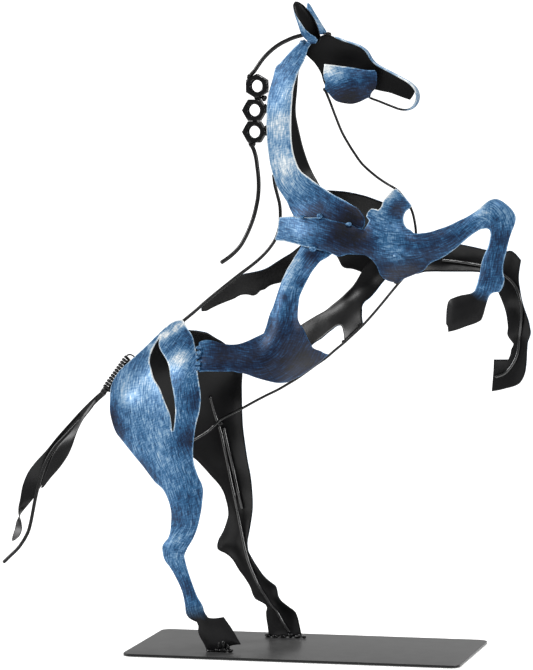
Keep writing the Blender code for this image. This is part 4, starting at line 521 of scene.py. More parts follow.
@dataclass(frozen=True)
class BrushedEnamel:
    """Enamel on sheet steel: navy ground with lighter blue dry-brushed over it; its pale edges are partly
    worn paint and partly painted highlight, and its tone carries painted highlights and painted shade.
    """

    name: str = "dry_brushed_blue_enamel"
    roughness: tuple[float, float] = (0.34, 0.5)
    metallic: float = 0.25
    specular: float = 0.28
    stroke_mm: float = 1.0
    stroke_length_mm: float = 7.0
    mottle_mm: float = 4.5
    blotch_mm: float = 16.0
    # How much the strokes, crossing strokes, mottle, blotches and edge line each lift the tone.
    strengths: tuple[float, ...] = (0.8, 0.42, 0.24, 0.3, 0.46)
    ground: float = 0.878  # taken off the tone, as much as the noise adds on average
    soot: str = "#08080a"
    # The highest stops, pale grey to near white, are reached mostly where painted highlights lift the tone.
    stops: tuple[tuple[float, str], ...] = (
        (0.0, "#050813"), (0.2, "#0c1830"), (0.38, "#173353"), (0.55, "#2c5b84"), (0.72, "#6b8dab"),
        (0.87, "#a4b4c1"), (1.0, "#d6dadb"),
    )

    def build(self) -> bpy.types.Material:
        """Makes the material.

        It reads the sheet's attributes: brush (mm along and across the strokes), tone, edge and black.

        Returns:
            The material.
        """
        made = bpy.data.materials.new(self.name)
        made.use_nodes = True
        tree = made.node_tree
        shader = tree.nodes["Principled BSDF"]
        brush = add_node(tree, "Attribute", attribute_name="brush").outputs["Vector"]
        tone, edge, black = (
            add_node(tree, "Attribute", attribute_name=name).outputs["Fac"]
            for name in ("tone", "edge", "black")
        )

        def strokes(turn: float, width: float, length: float, detail: float) -> Any:
            """Noise drawn out along the brush.

            Args:
                turn: Degrees between the strokes and the brush's way.
                width: A stroke's width in mm.
                length: Its length in mm.
                detail: How finely it is broken up.

            Returns:
                The noise's socket.
            """
            turned = add_node(tree, "Mapping", {"Vector": brush, "Rotation": (0, 0, math.radians(turn))})
            scale = (1 / length, 1 / width, 1)
            drawn = add_node(tree, "Mapping", {"Vector": turned.outputs[0], "Scale": scale})
            inputs = {"Vector": drawn.outputs[0], "Scale": 1.0, "Detail": detail, "Roughness": 0.6}
            return add_node(tree, "TexNoise", inputs).outputs["Fac"]

        def sum_of(kind: str, a: Any, b: Any = 0.0, c: Any = 0.0) -> Any:
            """One sum on sockets or numbers."""
            return add_node(tree, "Math", {0: a, 1: b, 2: c}, operation=kind).outputs[0]

        fine = strokes(5, self.stroke_mm, self.stroke_length_mm, 2.0)
        crossed = strokes(82, self.stroke_mm, self.stroke_length_mm * 0.6, 2.0)
        mottle = strokes(30, self.mottle_mm, self.mottle_mm * 1.6, 3.0)
        blotch = strokes(15, self.blotch_mm * 0.7, self.blotch_mm * 1.3, 3.0)
        level = sum_of("SUBTRACT", tone, self.ground)
        for layer, strength in zip((fine, crossed, mottle, blotch, edge), self.strengths):
            level = sum_of("MULTIPLY_ADD", layer, strength, level)
        colour = add_ramp(tree, level, self.stops)
        soot = add_node(tree, "Mix", {0: black}, data_type="RGBA")
        tree.links.new(colour, soot.inputs[6])
        soot.inputs[7].default_value = linear(self.soot)
        tree.links.new(soot.outputs[2], shader.inputs["Base Color"])
        low, high = self.roughness
        tree.links.new(sum_of("MULTIPLY_ADD", mottle, high - low, low), shader.inputs["Roughness"])
        shader.inputs["Metallic"].default_value = self.metallic
        shader.inputs["Specular IOR Level"].default_value = self.specular
        bump = add_node(tree, "Bump", {"Height": fine, "Strength": 0.15, "Distance": 0.0003})
        tree.links.new(bump.outputs[0], shader.inputs["Normal"])
        return made


@dataclass(frozen=True)
class BlackEnamel:
    """Black enamel sprayed on steel: even and smooth, its soft sheen broken up a little by its grain."""

    name: str
    colour: str
    lift: str
    roughness: float
    specular: float
    grain_mm: float = 2.0
    metallic: float = 0.0

    def build(self) -> bpy.types.Material:
        """Makes the material, with a faint mottle between its two colours.

        Returns:
            The material.
        """
        made = bpy.data.materials.new(self.name)
        made.use_nodes = True
        tree = made.node_tree
        shader = tree.nodes["Principled BSDF"]
        place = add_node(tree, "TexCoord").outputs["Object"]
        noise = add_node(
            tree, "TexNoise", {"Vector": place, "Scale": 1000 / (self.grain_mm * 8), "Detail": 4.0}
        ).outputs["Fac"]
        colour = add_ramp(tree, noise, ((0.35, self.colour), (0.75, self.lift)))
        tree.links.new(colour, shader.inputs["Base Color"])
        shader.inputs["Metallic"].default_value = self.metallic
        shader.inputs["Roughness"].default_value = self.roughness
        shader.inputs["Specular IOR Level"].default_value = self.specular
        fine = add_node(
            tree, "TexNoise", {"Vector": place, "Scale": 1000 / self.grain_mm, "Detail": 2.0}
        ).outputs["Fac"]
        bump = add_node(tree, "Bump", {"Height": fine, "Strength": 0.08, "Distance": 0.0002})
        tree.links.new(bump.outputs[0], shader.inputs["Normal"])
        return made


@dataclass
class Finishes:
    """The materials that the pieces share."""

    # Blue with strokes and pale edges, partly worn paint and partly painted highlight, on every outer face.
    enamel: bpy.types.Material = field(default_factory=BrushedEnamel().build)
    # Deep black with a low, soft sheen that follows the bow.
    inside: bpy.types.Material = field(
        default_factory=BlackEnamel("black_enamel_inside", "#050506", "#0a0a0c", 0.32, 0.28).build
    )
    # A little glossier, so that a thin light line runs along each rod.
    rod: bpy.types.Material = field(
        default_factory=BlackEnamel("black_enamel_rod", "#050506", "#0b0b0d", 0.22, 0.42, 3.0).build
    )
    # Glossier still: the rods inside the far legs show bright against the black.
    leg_rod: bpy.types.Material = field(
        default_factory=BlackEnamel("gloss_black_leg_rod", "#050506", "#0b0b0d", 0.2, 0.9, 3.0).build
    )
    # Dark, with small sharp lights on chamfers and weld lumps.
    nut: bpy.types.Material = field(
        default_factory=BlackEnamel("blackened_nut_steel", "#050506", "#0c0c0e", 0.24, 0.3, 2.0, 0.1).build
    )
    # Black plate enamel whose top is painted an even dark grey, a painted sheen of the bright room; it still
    # mirrors the hooves softly.
    plate: bpy.types.Material = field(
        default_factory=BlackEnamel("black_plate_enamel_painted_grey_sheen", "#3b3b3b", "#454545", 0.3, 0.5, 1.2).build
    )


def mesh_piece(
    name: str, vertices: Array, faces: Any, materials: Sequence[bpy.types.Material]
) -> bpy.types.Object:
    """Makes a piece's object at the origin, its place in its mesh, riding on the one body.

    Args:
        name: The piece's name.
        vertices: An (n, 3) array in mm.
        faces: Rows of vertex indices, or an array of equal rows.
        materials: The materials of its slots.

    Returns:
        The new object.
    """
    low, high = (np.array(corner, float) for corner in CAD_BOX)
    places = np.clip(np.asarray(vertices, float) * MM, low + BOX_MARGIN, high - BOX_MARGIN)
    data = bpy.data.meshes.new(name)
    data.from_pydata(places.tolist(), [], faces.tolist() if isinstance(faces, np.ndarray) else faces)
    data.validate()
    data.shade_smooth()
    for made in materials:
        data.materials.append(made)
    obj = bpy.data.objects.new(name, data)
    bpy.context.scene.collection.objects.link(obj)
    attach(obj, "root")
    return obj


def write_attribute(obj: bpy.types.Object, name: str, values: Array) -> None:
    """Writes one number, or one vector, for each point of a piece's mesh.

    Args:
        obj: The piece.
        name: The attribute's name, which its material reads.
        values: An array with one number or one row of three for each point.
    """
    kind = "FLOAT_VECTOR" if np.ndim(values) == 2 else "FLOAT"
    made = obj.data.attributes.new(name, kind, "POINT")
    field_name = "vector" if kind == "FLOAT_VECTOR" else "value"
    made.data.foreach_set(field_name, np.asarray(values, np.float32).ravel())


def turn_outwards(obj: bpy.types.Object) -> None:
    """Makes a closed mesh's faces point outwards.

    Args:
        obj: The piece.
    """
    shell = bmesh.new()
    shell.from_mesh(obj.data)
    bmesh.ops.recalc_face_normals(shell, faces=shell.faces)
    shell.to_mesh(obj.data)
    shell.free()


def unit(vectors: Array) -> Array:
    """Each row at length one."""
    return vectors / np.maximum(np.linalg.norm(vectors, axis=-1, keepdims=True), 1e-9)


def hermite(points: Array, closed: bool, step: float, sharp_degrees: float = NO_CORNER) -> Array:
    """A smooth curve through points, with corners kept.

    Each span is a cubic whose end slopes are the length-weighted mean of its neighbours' directions. Where
    the direction turns by more than sharp_degrees, the span's own direction is its slope, and the corner
    stays.

    Args:
        points: An (n, k) array.
        closed: Whether the last point joins the first.
        step: The longest distance between two points of the result.
        sharp_degrees: The turn that counts as a corner.

    Returns:
        The points of the curve, without a repeat of the first on a closed one.
    """
    starts = points if closed else points[:-1]
    ends = np.roll(points, -1, axis=0) if closed else points[1:]
    spans = ends - starts
    lengths = np.maximum(np.linalg.norm(spans, axis=1), 1e-9)
    ways = spans / lengths[:, None]
    before = np.roll(ways, 1, axis=0)
    before_lengths = np.roll(lengths, 1)
    if not closed:
        before[0], before_lengths[0] = ways[0], lengths[0]
    mean = unit(before * lengths[:, None] + ways * before_lengths[:, None])
    corner = (before * ways).sum(1) < math.cos(math.radians(sharp_degrees))
    leaving = np.where(corner[:, None], ways, mean)
    arriving_next = np.where(corner[:, None], before, mean)
    arriving = np.roll(arriving_next, -1, axis=0)
    if not closed:
        arriving[-1] = ways[-1]
    counts = np.maximum(np.ceil(lengths / step).astype(int), 1)
    which = np.repeat(np.arange(len(starts)), counts)
    t = (np.arange(len(which)) - np.repeat(np.cumsum(counts) - counts, counts)) / np.repeat(counts, counts)
    t = t[:, None]
    scale = lengths[which][:, None]
    made = (
        (2 * t**3 - 3 * t**2 + 1) * starts[which] + (t**3 - 2 * t**2 + t) * leaving[which] * scale
        + (3 * t**2 - 2 * t**3) * ends[which] + (t**3 - t**2) * arriving[which] * scale
    )
    return made if closed else np.concatenate([made, points[-1:]])


def depth_surface(points: Sequence[Point], places: Array, slack: float = 0.0) -> Array:
    """The thin-plate surface y(x, z) through points (x, z, y), read at places.

    Each point adds r squared times log r squared, and a plane is added, with weights that make the surface
    pass through every point.

    Args:
        points: Rows of x, z and y in mm.
        places: An (n, 2) array of x and z.
        slack: How freely the surface may pass by its points, for a calmer bow.

    Returns:
        y at each place.
    """
    table = np.array(points, float)
    count, scale = len(table), 100.0  # in tenths of a metre the system is well scaled
    knots, query = table[:, :2] / scale, np.asarray(places, float) / scale

    def kernel(squared: Array) -> Array:
        """r squared times log of r squared."""
        return np.where(squared > 1e-12, squared * np.log(np.maximum(squared, 1e-12)), 0.0)

    system = np.zeros((count + 3, count + 3))
    system[:count, :count] = kernel(((knots[:, None] - knots[None]) ** 2).sum(-1))
    system[:count, :count] += slack * np.eye(count)
    system[:count, count] = 1.0
    system[:count, count + 1 :] = knots
    system[count, :count] = 1.0
    system[count + 1 :, :count] = knots.T
    weights = np.linalg.solve(system, np.concatenate([table[:, 2], np.zeros(3)]))
    squared = ((query[:, None] - knots[None]) ** 2).sum(-1)
    return kernel(squared) @ weights[:count] + weights[count] + query @ weights[count + 1 :]


def spots_at(flat: Array, spots: Sequence[Point]) -> Array:
    """The sum of soft round spots at each place.

    Args:
        flat: An (n, 2) array of x and z.
        spots: Rows of x, z, radius and amount.

    Returns:
        One number for each place.
    """
    total = np.zeros(len(flat))
    for x, z, radius, amount in spots:
        total += amount * np.exp(-((flat - (x, z)) ** 2).sum(1) / (SPOT_SPREAD * radius) ** 2)
    return total


def nearest_on_path(places: Array, path: Array, closed: bool) -> tuple[Array, Array, Array]:
    """The nearest place on a path to each of many places.

    Args:
        places: An (n, 2) array.
        path: An (m, 2) array of its corners.
        closed: Whether its last point joins the first.

    Returns:
        The distance, its signed offset to the path's left, and how far along the path it lies.
    """
    starts = path if closed else path[:-1]
    spans = (np.roll(path, -1, axis=0) if closed else path[1:]) - starts
    lengths = np.maximum(np.linalg.norm(spans, axis=1), 1e-9)
    away = places[:, None] - starts[None]
    share = np.clip((away * spans).sum(-1) / lengths**2, 0, 1)
    gap = away - share[..., None] * spans
    distance = np.linalg.norm(gap, axis=-1)
    best = distance.argmin(1)
    rows = np.arange(len(places))
    along = (np.cumsum(lengths) - lengths)[best] + share[rows, best] * lengths[best]
    cross = spans[best, 0] * gap[rows, best, 1] - spans[best, 1] * gap[rows, best, 0]
    return distance[rows, best], np.sign(cross) * distance[rows, best], along


def inside_ring(places: Array, ring: Array) -> Array:
    """Whether each place lies inside a closed ring, by the even-odd rule on all its sides at once.

    Args:
        places: An (n, 2) array.
        ring: An (m, 2) array of the ring's corners.

    Returns:
        One truth value for each place.
    """
    nexts = np.roll(ring, -1, axis=0)
    x, z = places[:, :1], places[:, 1:]
    crosses = (ring[:, 1] > z) != (nexts[:, 1] > z)
    rise = np.where(nexts[:, 1] == ring[:, 1], 1e-9, nexts[:, 1] - ring[:, 1])
    at = ring[:, 0] + (z - ring[:, 1]) * (nexts[:, 0] - ring[:, 0]) / rise
    return (crosses & (x < at)).sum(1) % 2 == 1


def inset_ring(ring: Array, distance: float) -> Array:
    """A closed ring moved along its normals.

    Args:
        ring: An (m, 2) array of its corners.
        distance: How far in it moves, or out where this is negative.

    Returns:
        The moved ring.
    """
    area = (ring[:, 0] * np.roll(ring[:, 1], -1) - np.roll(ring[:, 0], -1) * ring[:, 1]).sum()
    way = unit(np.roll(ring, -1, axis=0) - np.roll(ring, 1, axis=0))
    normal = np.stack([-way[:, 1], way[:, 0]], 1) * np.sign(area)
    return ring + normal * distance


@dataclass
class Sheet:
    """A cut sheet, bowed in depth, with a rounded rim and painted by hand."""

    name: str
    outline: Sequence[Point]
    depth: Sequence[Point]
    side: Side
    grain: Sequence[Point]
    # Spots of paint tone, painted highlights and painted shade, as (x, z, radius, amount).
    tone_highlight_shade: Sequence[Point] = ()
    base_tone: float = 0.0
    slit: Sequence[Point] = ()
    hoof: Point | None = None
    # The pale edge line's strength: partly worn paint, partly painted highlight on the rim; the spots below
    # strengthen it, mostly as painted highlight.
    edge_light: float = 0.4
    edge_and_highlight_spots: Sequence[Point] = ()
    # The strength of a painted shade band just inside the outline.
    edge_shade: float = 0.06
    roll: float = 1.5
    slack: float = 0.0

    def rings(self) -> list[Array]:
        """The smooth outline, and the slit's where the sheet has one."""
        tables = [self.outline, *([self.slit] if self.slit else [])]
        return [hermite(np.array(table, float), True, RING_STEP, CORNER) for table in tables]

    def flat_points(self, rings: list[Array], rims: list[Array]) -> Array:
        """The rims' points, a row just inside each, and a staggered grid between them.

        Args:
            rings: The outline and the slit.
            rims: The same, moved in by the rim's rounding.

        Returns:
            All points of the flat pattern, the rims' own first.
        """
        outer = rings[0]
        low, high = outer.min(0), outer.max(0)
        z = np.arange(low[1], high[1], GRID_STEP * GRID_ROW)
        x = np.arange(low[0], high[0], GRID_STEP)
        grid = np.stack(np.meshgrid(x, z), -1)
        grid[1::2, :, 0] += GRID_STEP / 2
        bands = [inset_ring(outer, EDGE_BAND), *[inset_ring(hole, -EDGE_BAND) for hole in rings[1:]]]
        wide = inset_ring(outer, WIDE_BAND)[::2]
        extra = np.concatenate([grid.reshape(-1, 2), *bands, wide])
        clear = np.concatenate([
            np.full(grid.size // 2, WIDE_BAND + GRID_STEP * 0.4),
            np.full(sum(map(len, bands)), EDGE_BAND * 0.8), np.full(len(wide), WIDE_BAND * 0.85),
        ])
        keep = inside_ring(extra, outer) & (nearest_on_path(extra, outer, True)[0] > clear)
        for hole in rings[1:]:
            keep &= ~inside_ring(extra, hole) & (nearest_on_path(extra, hole, True)[0] > clear)
        return np.concatenate([*rims, extra[keep]])

    def pattern(self) -> tuple[Array, Array, list[Array], list[Array]]:
        """The sheet's flat pattern as triangles.

        Returns:
            Points, triangles, the rings, and the indices of each rim's points.
        """
        rings = self.rings()
        rims = [inset_ring(rings[0], RIM_ROUND), *[inset_ring(hole, -RIM_ROUND) for hole in rings[1:]]]
        points = self.flat_points(rings, rims)
        starts = np.cumsum([0, *map(len, rims)])
        loops = [np.arange(a, b) for a, b in zip(starts[:-1], starts[1:])]
        edges = [pair for loop in loops for pair in np.stack([loop, np.roll(loop, -1)], 1).tolist()]
        flat, _, faces, *_ = delaunay_2d_cdt([Vector(p) for p in points.tolist()], edges, [], 0, 1e-7)
        flat = np.array([tuple(p) for p in flat])
        faces = np.array([tuple(f) for f in faces])
        if len(flat) != len(points):
            logger.warning("%s: the flat pattern has %d points for %d", self.name, len(flat), len(points))
        middles = flat[faces].mean(1)
        keep = inside_ring(middles, rims[0])
        for hole in rims[1:]:
            keep &= ~inside_ring(middles, hole)
        return flat, faces[keep], rings, loops

    def height(self, flat: Array, ring: Array) -> Array:
        """The sheet's y at flat places: its depth surface, the edge rolled in where it stands off the middle.

        Args:
            flat: An (n, 2) array of x and z.
            ring: The outline that the roll follows.

        Returns:
            y at each place.
        """
        y = depth_surface(self.depth, flat, self.slack)
        away = np.clip((np.abs(y) - ROLL_FROM) / ROLL_OVER, 0, 1)
        edge = nearest_on_path(flat, ring, True)[0]
        return y - self.side.value * self.roll * away * np.exp(-((edge / ROLL_REACH) ** 2))

    def bowed(self, flat: Array, ring: Array) -> tuple[Array, Array]:
        """Flat places put on the bowed sheet, with the surface's normal towards the outside.

        Args:
            flat: An (n, 2) array of x and z.
            ring: The outline.

        Returns:
            Their places in space and the normals.
        """
        nudge = 0.3
        y = self.height(flat, ring)
        slope_x, slope_z = (
            (self.height(flat + step, ring) - self.height(flat - step, ring)) / (2 * nudge)
            for step in (np.array([nudge, 0]), np.array([0, nudge]))
        )
        normal = unit(np.stack([-slope_x, np.ones_like(y), -slope_z], 1)) * self.side.value
        return np.stack([flat[:, 0], y, flat[:, 1]], 1), normal

    def paint(self, obj: bpy.types.Object, flat: Array, rings: list[Array]) -> None:
        """Writes the attributes that the enamel reads.

        Args:
            obj: The sheet's object.
            flat: The x and z of every point of its mesh.
            rings: The outline and the slit.
        """
        distances = [nearest_on_path(flat, ring, True)[0] for ring in rings]
        # The pale edge line: worn paint and painted highlight along the rims and round the slit.
        lit = self.edge_light + spots_at(flat, self.edge_and_highlight_spots)
        edge = np.clip(lit, 0, 1) * np.exp(-((distances[0] / EDGE_FADE) ** 2))
        for distance in distances[1:]:
            edge = np.maximum(edge, SLIT_EDGE * np.exp(-((distance / EDGE_FADE) ** 2)))
        path = hermite(np.array(self.grain, float), False, 6.0)
        _, across, along = nearest_on_path(flat, path, False)
        # The tone carries the paint's own tone together with painted highlights and painted shade.
        tone = 0.5 + self.base_tone + SPOT_GAIN * spots_at(flat, self.tone_highlight_shade)
        # A painted shade band just inside the outline.
        tone -= self.edge_shade * np.exp(-((distances[0] / SHADE_FADE) ** 2))
        black = np.zeros(len(flat))
        if self.hoof:
            x, z, way_x, way_z, width, reach = self.hoof
            away = flat - (x, z)
            past = (away @ unit(np.array([[way_x, way_z]]))[0]) / width + 0.5
            black = np.clip(past, 0, 1) * (np.linalg.norm(away, axis=1) < reach)
        write_attribute(obj, "edge", edge)
        write_attribute(obj, "brush", np.stack([along, across, np.zeros(len(flat))], 1))
        write_attribute(obj, "tone", tone)
        write_attribute(obj, "black", black)

    def build(self, finishes: Finishes) -> bpy.types.Object:
        """Makes the sheet as one closed shell: outside, inside and two rows round each rim.

        Args:
            finishes: The shared materials.

        Returns:
            The sheet's object.
        """
        flat, faces, rings, loops = self.pattern()
        count, half = len(flat), SHEET_T / 2
        middle, normal = self.bowed(flat, rings[0])
        places, flats = [middle + normal * half, middle - normal * half], [flat, flat]
        all_faces: list[Any] = [*faces.tolist(), *(faces[:, ::-1] + count).tolist()]
        slots = [0] * len(faces) + [1] * len(faces)
        start = 2 * count
        for ring, loop in zip(rings, loops):
            edge_middle, edge_normal = self.bowed(ring, rings[0])
            places += [edge_middle + edge_normal * half * 0.45, edge_middle - edge_normal * half * 0.45]
            flats += [ring, ring]
            size = len(ring)
            first, second = np.arange(start, start + 2 * size).reshape(2, size)
            rows = [loop, first, second, loop + count]
            for a, b in zip(rows[:-1], rows[1:]):
                strip = np.stack([a, np.roll(a, -1), np.roll(b, -1), b], 1)
                all_faces += strip.tolist()
            slots += [0] * (2 * size) + [1] * size
            start += 2 * size
        materials = [finishes.enamel, finishes.inside]
        obj = mesh_piece(self.name + "_sheet", np.concatenate(places), all_faces, materials)
        obj.data.polygons.foreach_set("material_index", np.array(slots, np.int32))
        self.paint(obj, np.concatenate(flats), rings)
        turn_outwards(obj)
        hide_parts(self.name)
        return obj


@dataclass
class Rod:
    """A bent round rod: a circle carried along a smooth path, drawn in to a rounded end at both ends."""

    name: str
    path: Sequence[Point]
    diameter: float
    replaces: bool = True
    reference: Point = (0.0, 1.0, 0.0)
    sides: int = 18
    step: float = 2.0

    def centre_line(self) -> Array:
        """The smooth path in mm."""
        return hermite(np.array(self.path, float), False, self.step)

    def build(self, finish: bpy.types.Material) -> bpy.types.Object:
        """Makes the rod.

        The surface is centre(s) + radius(s) * (cos a * u + sin a * v), where u is the path's direction
        crossed with the reference, v completes the frame, and the radius falls as a quarter of an ellipse at
        both ends.

        Args:
            finish: Its material.

        Returns:
            The rod's object.
        """
        line = self.centre_line()
        lengths = np.concatenate([[0.0], np.cumsum(np.linalg.norm(np.diff(line, axis=0), axis=1))])
        total, round_off = lengths[-1], self.diameter * 0.3
        ends = round_off * (1 - np.cos(np.linspace(0, math.pi / 2, 5)))
        middle = lengths[(lengths > round_off * 1.3) & (lengths < total - round_off * 1.3)]
        s = np.concatenate([ends, middle, total - ends[::-1]])
        nudge = 0.3

        def place(along: Array) -> Array:
            """The path's points at distances along it."""
            return np.stack([np.interp(along, lengths, line[:, k]) for k in range(3)], 1)

        centre = place(s)
        way = unit(place(np.minimum(s + nudge, total)) - place(np.maximum(s - nudge, 0)))
        u = unit(np.cross(way, np.array(self.reference)))
        v = np.cross(way, u)
        from_end = np.minimum(np.minimum(s, total - s), round_off)
        radius = self.diameter / 2 * np.sqrt(np.maximum(1 - ((round_off - from_end) / round_off) ** 2, 0.003))
        angle = np.arange(self.sides) * 2 * math.pi / self.sides
        ring = np.cos(angle)[None, :, None] * u[:, None] + np.sin(angle)[None, :, None] * v[:, None]
        vertices = (centre[:, None] + radius[:, None, None] * ring).reshape(-1, 3)
        name = self.name + ("_round" if self.replaces else "")
        obj = mesh_piece(name, vertices, tube_faces(len(s), self.sides), [finish])
        turn_outwards(obj)
        if self.replaces:
            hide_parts(self.name)
        return obj


def tube_faces(rows: int, sides: int) -> list[Any]:
    """The faces of rings joined in order, closed by a cap at each end.

    Args:
        rows: How many rings there are.
        sides: How many points each has.

    Returns:
        Rows of vertex indices.
    """
    i, j = np.meshgrid(np.arange(rows - 1), np.arange(sides), indexing="ij")
    k = (j + 1) % sides
    quads = np.stack([i * sides + j, i * sides + k, (i + 1) * sides + k, (i + 1) * sides + j], -1)
    first = np.arange(sides)[::-1].tolist()
    last = ((rows - 1) * sides + np.arange(sides)).tolist()
    return [*quads.reshape(-1, 4).tolist(), first, last]


@dataclass
class Strip:
    """A flat strip between two edges, a bar with rounded sides carried along them."""

    name: str
    first_edge: Sequence[Point]
    second_edge: Sequence[Point]
    thickness: float
    slot: str = "black_steel"
    sides: int = 24
    squareness: float = 0.45
    tone: float = 0.62
    nose: Point = (0.56, 0.1, 0.2)  # a paler stretch: where along the strip, how long, and how much
    black_from: float = 0.72

    def build(self, outer: bpy.types.Material, inner: bpy.types.Material) -> bpy.types.Object:
        """Makes the strip.

        The surface is middle(s) + a(t) * half_width(s) + b(t) * thickness / 2 * normal(s), where (a, b) runs
        round a rounded bar, and the thickness shrinks at both ends.

        Args:
            outer: The material on the face that its normal points from.
            inner: The material on the other face.

        Returns:
            The strip's object.
        """
        both = np.concatenate([np.array(self.first_edge, float), np.array(self.second_edge, float)], 1)
        both = hermite(both, False, 2.5)
        middle, half = (both[:, :3] + both[:, 3:]) / 2, (both[:, 3:] - both[:, :3]) / 2
        normal = unit(np.cross(unit(np.gradient(middle, axis=0)), half))
        t = (np.arange(self.sides) + 0.5) * 2 * math.pi / self.sides
        a, b = (np.sign(wave) * np.abs(wave) ** self.squareness for wave in (np.cos(t), np.sin(t)))
        rows = len(middle)
        shrink = np.ones(rows)
        shrink[[0, -1]] = 0.6
        vertices = (
            middle[:, None] + a[None, :, None] * half[:, None]
            + (b * self.thickness / 2)[None, :, None] * shrink[:, None, None] * normal[:, None]
        ).reshape(-1, 3)
        obj = mesh_piece(self.name + "_strip", vertices, tube_faces(rows, self.sides), [outer, inner])
        side = np.tile((b + np.roll(b, -1)) < 0, rows - 1)
        obj.data.polygons.foreach_set("material_index", np.concatenate([side, [0, 0]]).astype(np.int32))
        lengths = np.concatenate([[0.0], np.cumsum(np.linalg.norm(np.diff(middle, axis=0), axis=1))])
        share = lengths / lengths[-1]
        width = np.linalg.norm(half, axis=1)
        across = a[None, :] * width[:, None]
        where, reach, lift = self.nose
        tone = self.tone + lift * np.exp(-(((share - where) / reach) ** 2))
        brush = np.stack([np.repeat(lengths[:, None], self.sides, 1), across, np.zeros_like(across)], -1)
        # A pale line along both sides of the strip: worn paint and painted highlight.
        write_attribute(obj, "edge", 0.3 * np.exp(-((width[:, None] - np.abs(across)) ** 2)).ravel())
        write_attribute(obj, "tone", np.repeat(tone, self.sides))
        write_attribute(obj, "black", np.repeat(np.clip((share - self.black_from) / 0.06, 0, 1), self.sides))
        write_attribute(obj, "brush", brush.reshape(-1, 3))
        turn_outwards(obj)
        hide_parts(self.name)
        return obj


@dataclass
class Ear:
    """A cupped leaf of sheet, wrapped further round towards its base."""

    name: str
    rows: Sequence[Point]
    y: float
    back: float
    tone: float
    width_share: float = 1.0
    hug: float = 0.0  # degrees that the cup closes further just above its base
    columns: int = 28

    def build(self, finishes: Finishes) -> bpy.types.Object:
        """Makes the ear.

        Each row is part of an ellipse from its right edge round the back to its left edge and on by its wrap.
        The rows run smoothly from the tip to the base, and the wall is the surface moved out and in by half
        its thickness.

        Args:
            finishes: The shared materials.

        Returns:
            The ear's object.
        """
        table = np.array(self.rows, float)
        table[:, 2] = table[:, 0] + (table[:, 2] - table[:, 0]) * self.width_share
        table[:, 4] += self.hug * np.exp(-(((table[:, 1] - 468) / 3.5) ** 2))
        rows = hermite(table, False, 1.6)
        left, right, wrap = rows[:, [0, 1]], rows[:, [2, 3]], np.clip(rows[:, 4], 0, 140)
        middle, half = (left + right) / 2, (right - left) / 2
        width = np.linalg.norm(half, axis=1)
        depth = np.maximum(0.5 * width, np.interp(wrap, [0, 4], [0.6, 1.7]))
        u = np.linspace(0, 1, self.columns)
        angle = np.radians(180 + wrap)[:, None] * u[None]

        def wall(grow: float) -> Array:
            """The surface with its ellipses grown.

            Args:
                grow: How far, in mm.

            Returns:
                The places of its rows and columns of points.
            """
            side = 1 + grow / np.maximum(width, 0.6)
            flat = middle[:, None] + half[:, None] * (side[:, None] * np.cos(angle))[..., None]
            y = self.y + self.back * (depth[:, None] + grow) * np.sin(angle)
            return np.stack([flat[..., 0], y, flat[..., 1]], -1)

        outer, inner = wall(EAR_T / 2), wall(-EAR_T / 2)
        n, m = len(rows), self.columns
        index = np.arange(n * m).reshape(n, m)
        corners = [index[:-1, :-1], index[:-1, 1:], index[1:, 1:], index[1:, :-1]]
        quads = np.stack(corners, -1).reshape(-1, 4)
        border = np.concatenate([index[0, :-1], index[:-1, -1], index[-1, :0:-1], index[:0:-1, 0]])
        rim = np.stack([border, np.roll(border, -1), np.roll(border, -1) + n * m, border + n * m], 1)
        faces = np.concatenate([quads, quads[:, ::-1] + n * m, rim])
        obj = mesh_piece(
            self.name + "_leaf", np.concatenate([outer.reshape(-1, 3), inner.reshape(-1, 3)]), faces,
            [finishes.enamel, finishes.inside],
        )
        slots = np.arange(len(faces)) >= len(quads)
        obj.data.polygons.foreach_set("material_index", slots.astype(np.int32))
        height = np.repeat(np.linspace(0, 1, n)[:, None], m, 1)
        tone = self.tone + 0.18 * np.exp(-(((height - 0.35) / 0.25) ** 2)) - 0.12 * (height > 0.97)
        length = np.linalg.norm(middle[-1] - middle[0])
        brush = np.stack([height * length, width[:, None] * angle, np.zeros_like(angle)], -1)
        from_side = np.minimum(u, 1 - u)[None] * angle.max(1, keepdims=True) * width[:, None]
        # A pale line along the ear's sides: worn paint and painted highlight.
        edge = 0.5 * np.exp(-(from_side**2))
        for name, value in (("edge", edge), ("tone", tone), ("black", np.zeros_like(tone))):
            write_attribute(obj, name, np.tile(value.ravel(), 2))
        write_attribute(obj, "brush", np.tile(brush.reshape(-1, 3), (2, 1)))
        turn_outwards(obj)
        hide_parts(self.name)
        return obj


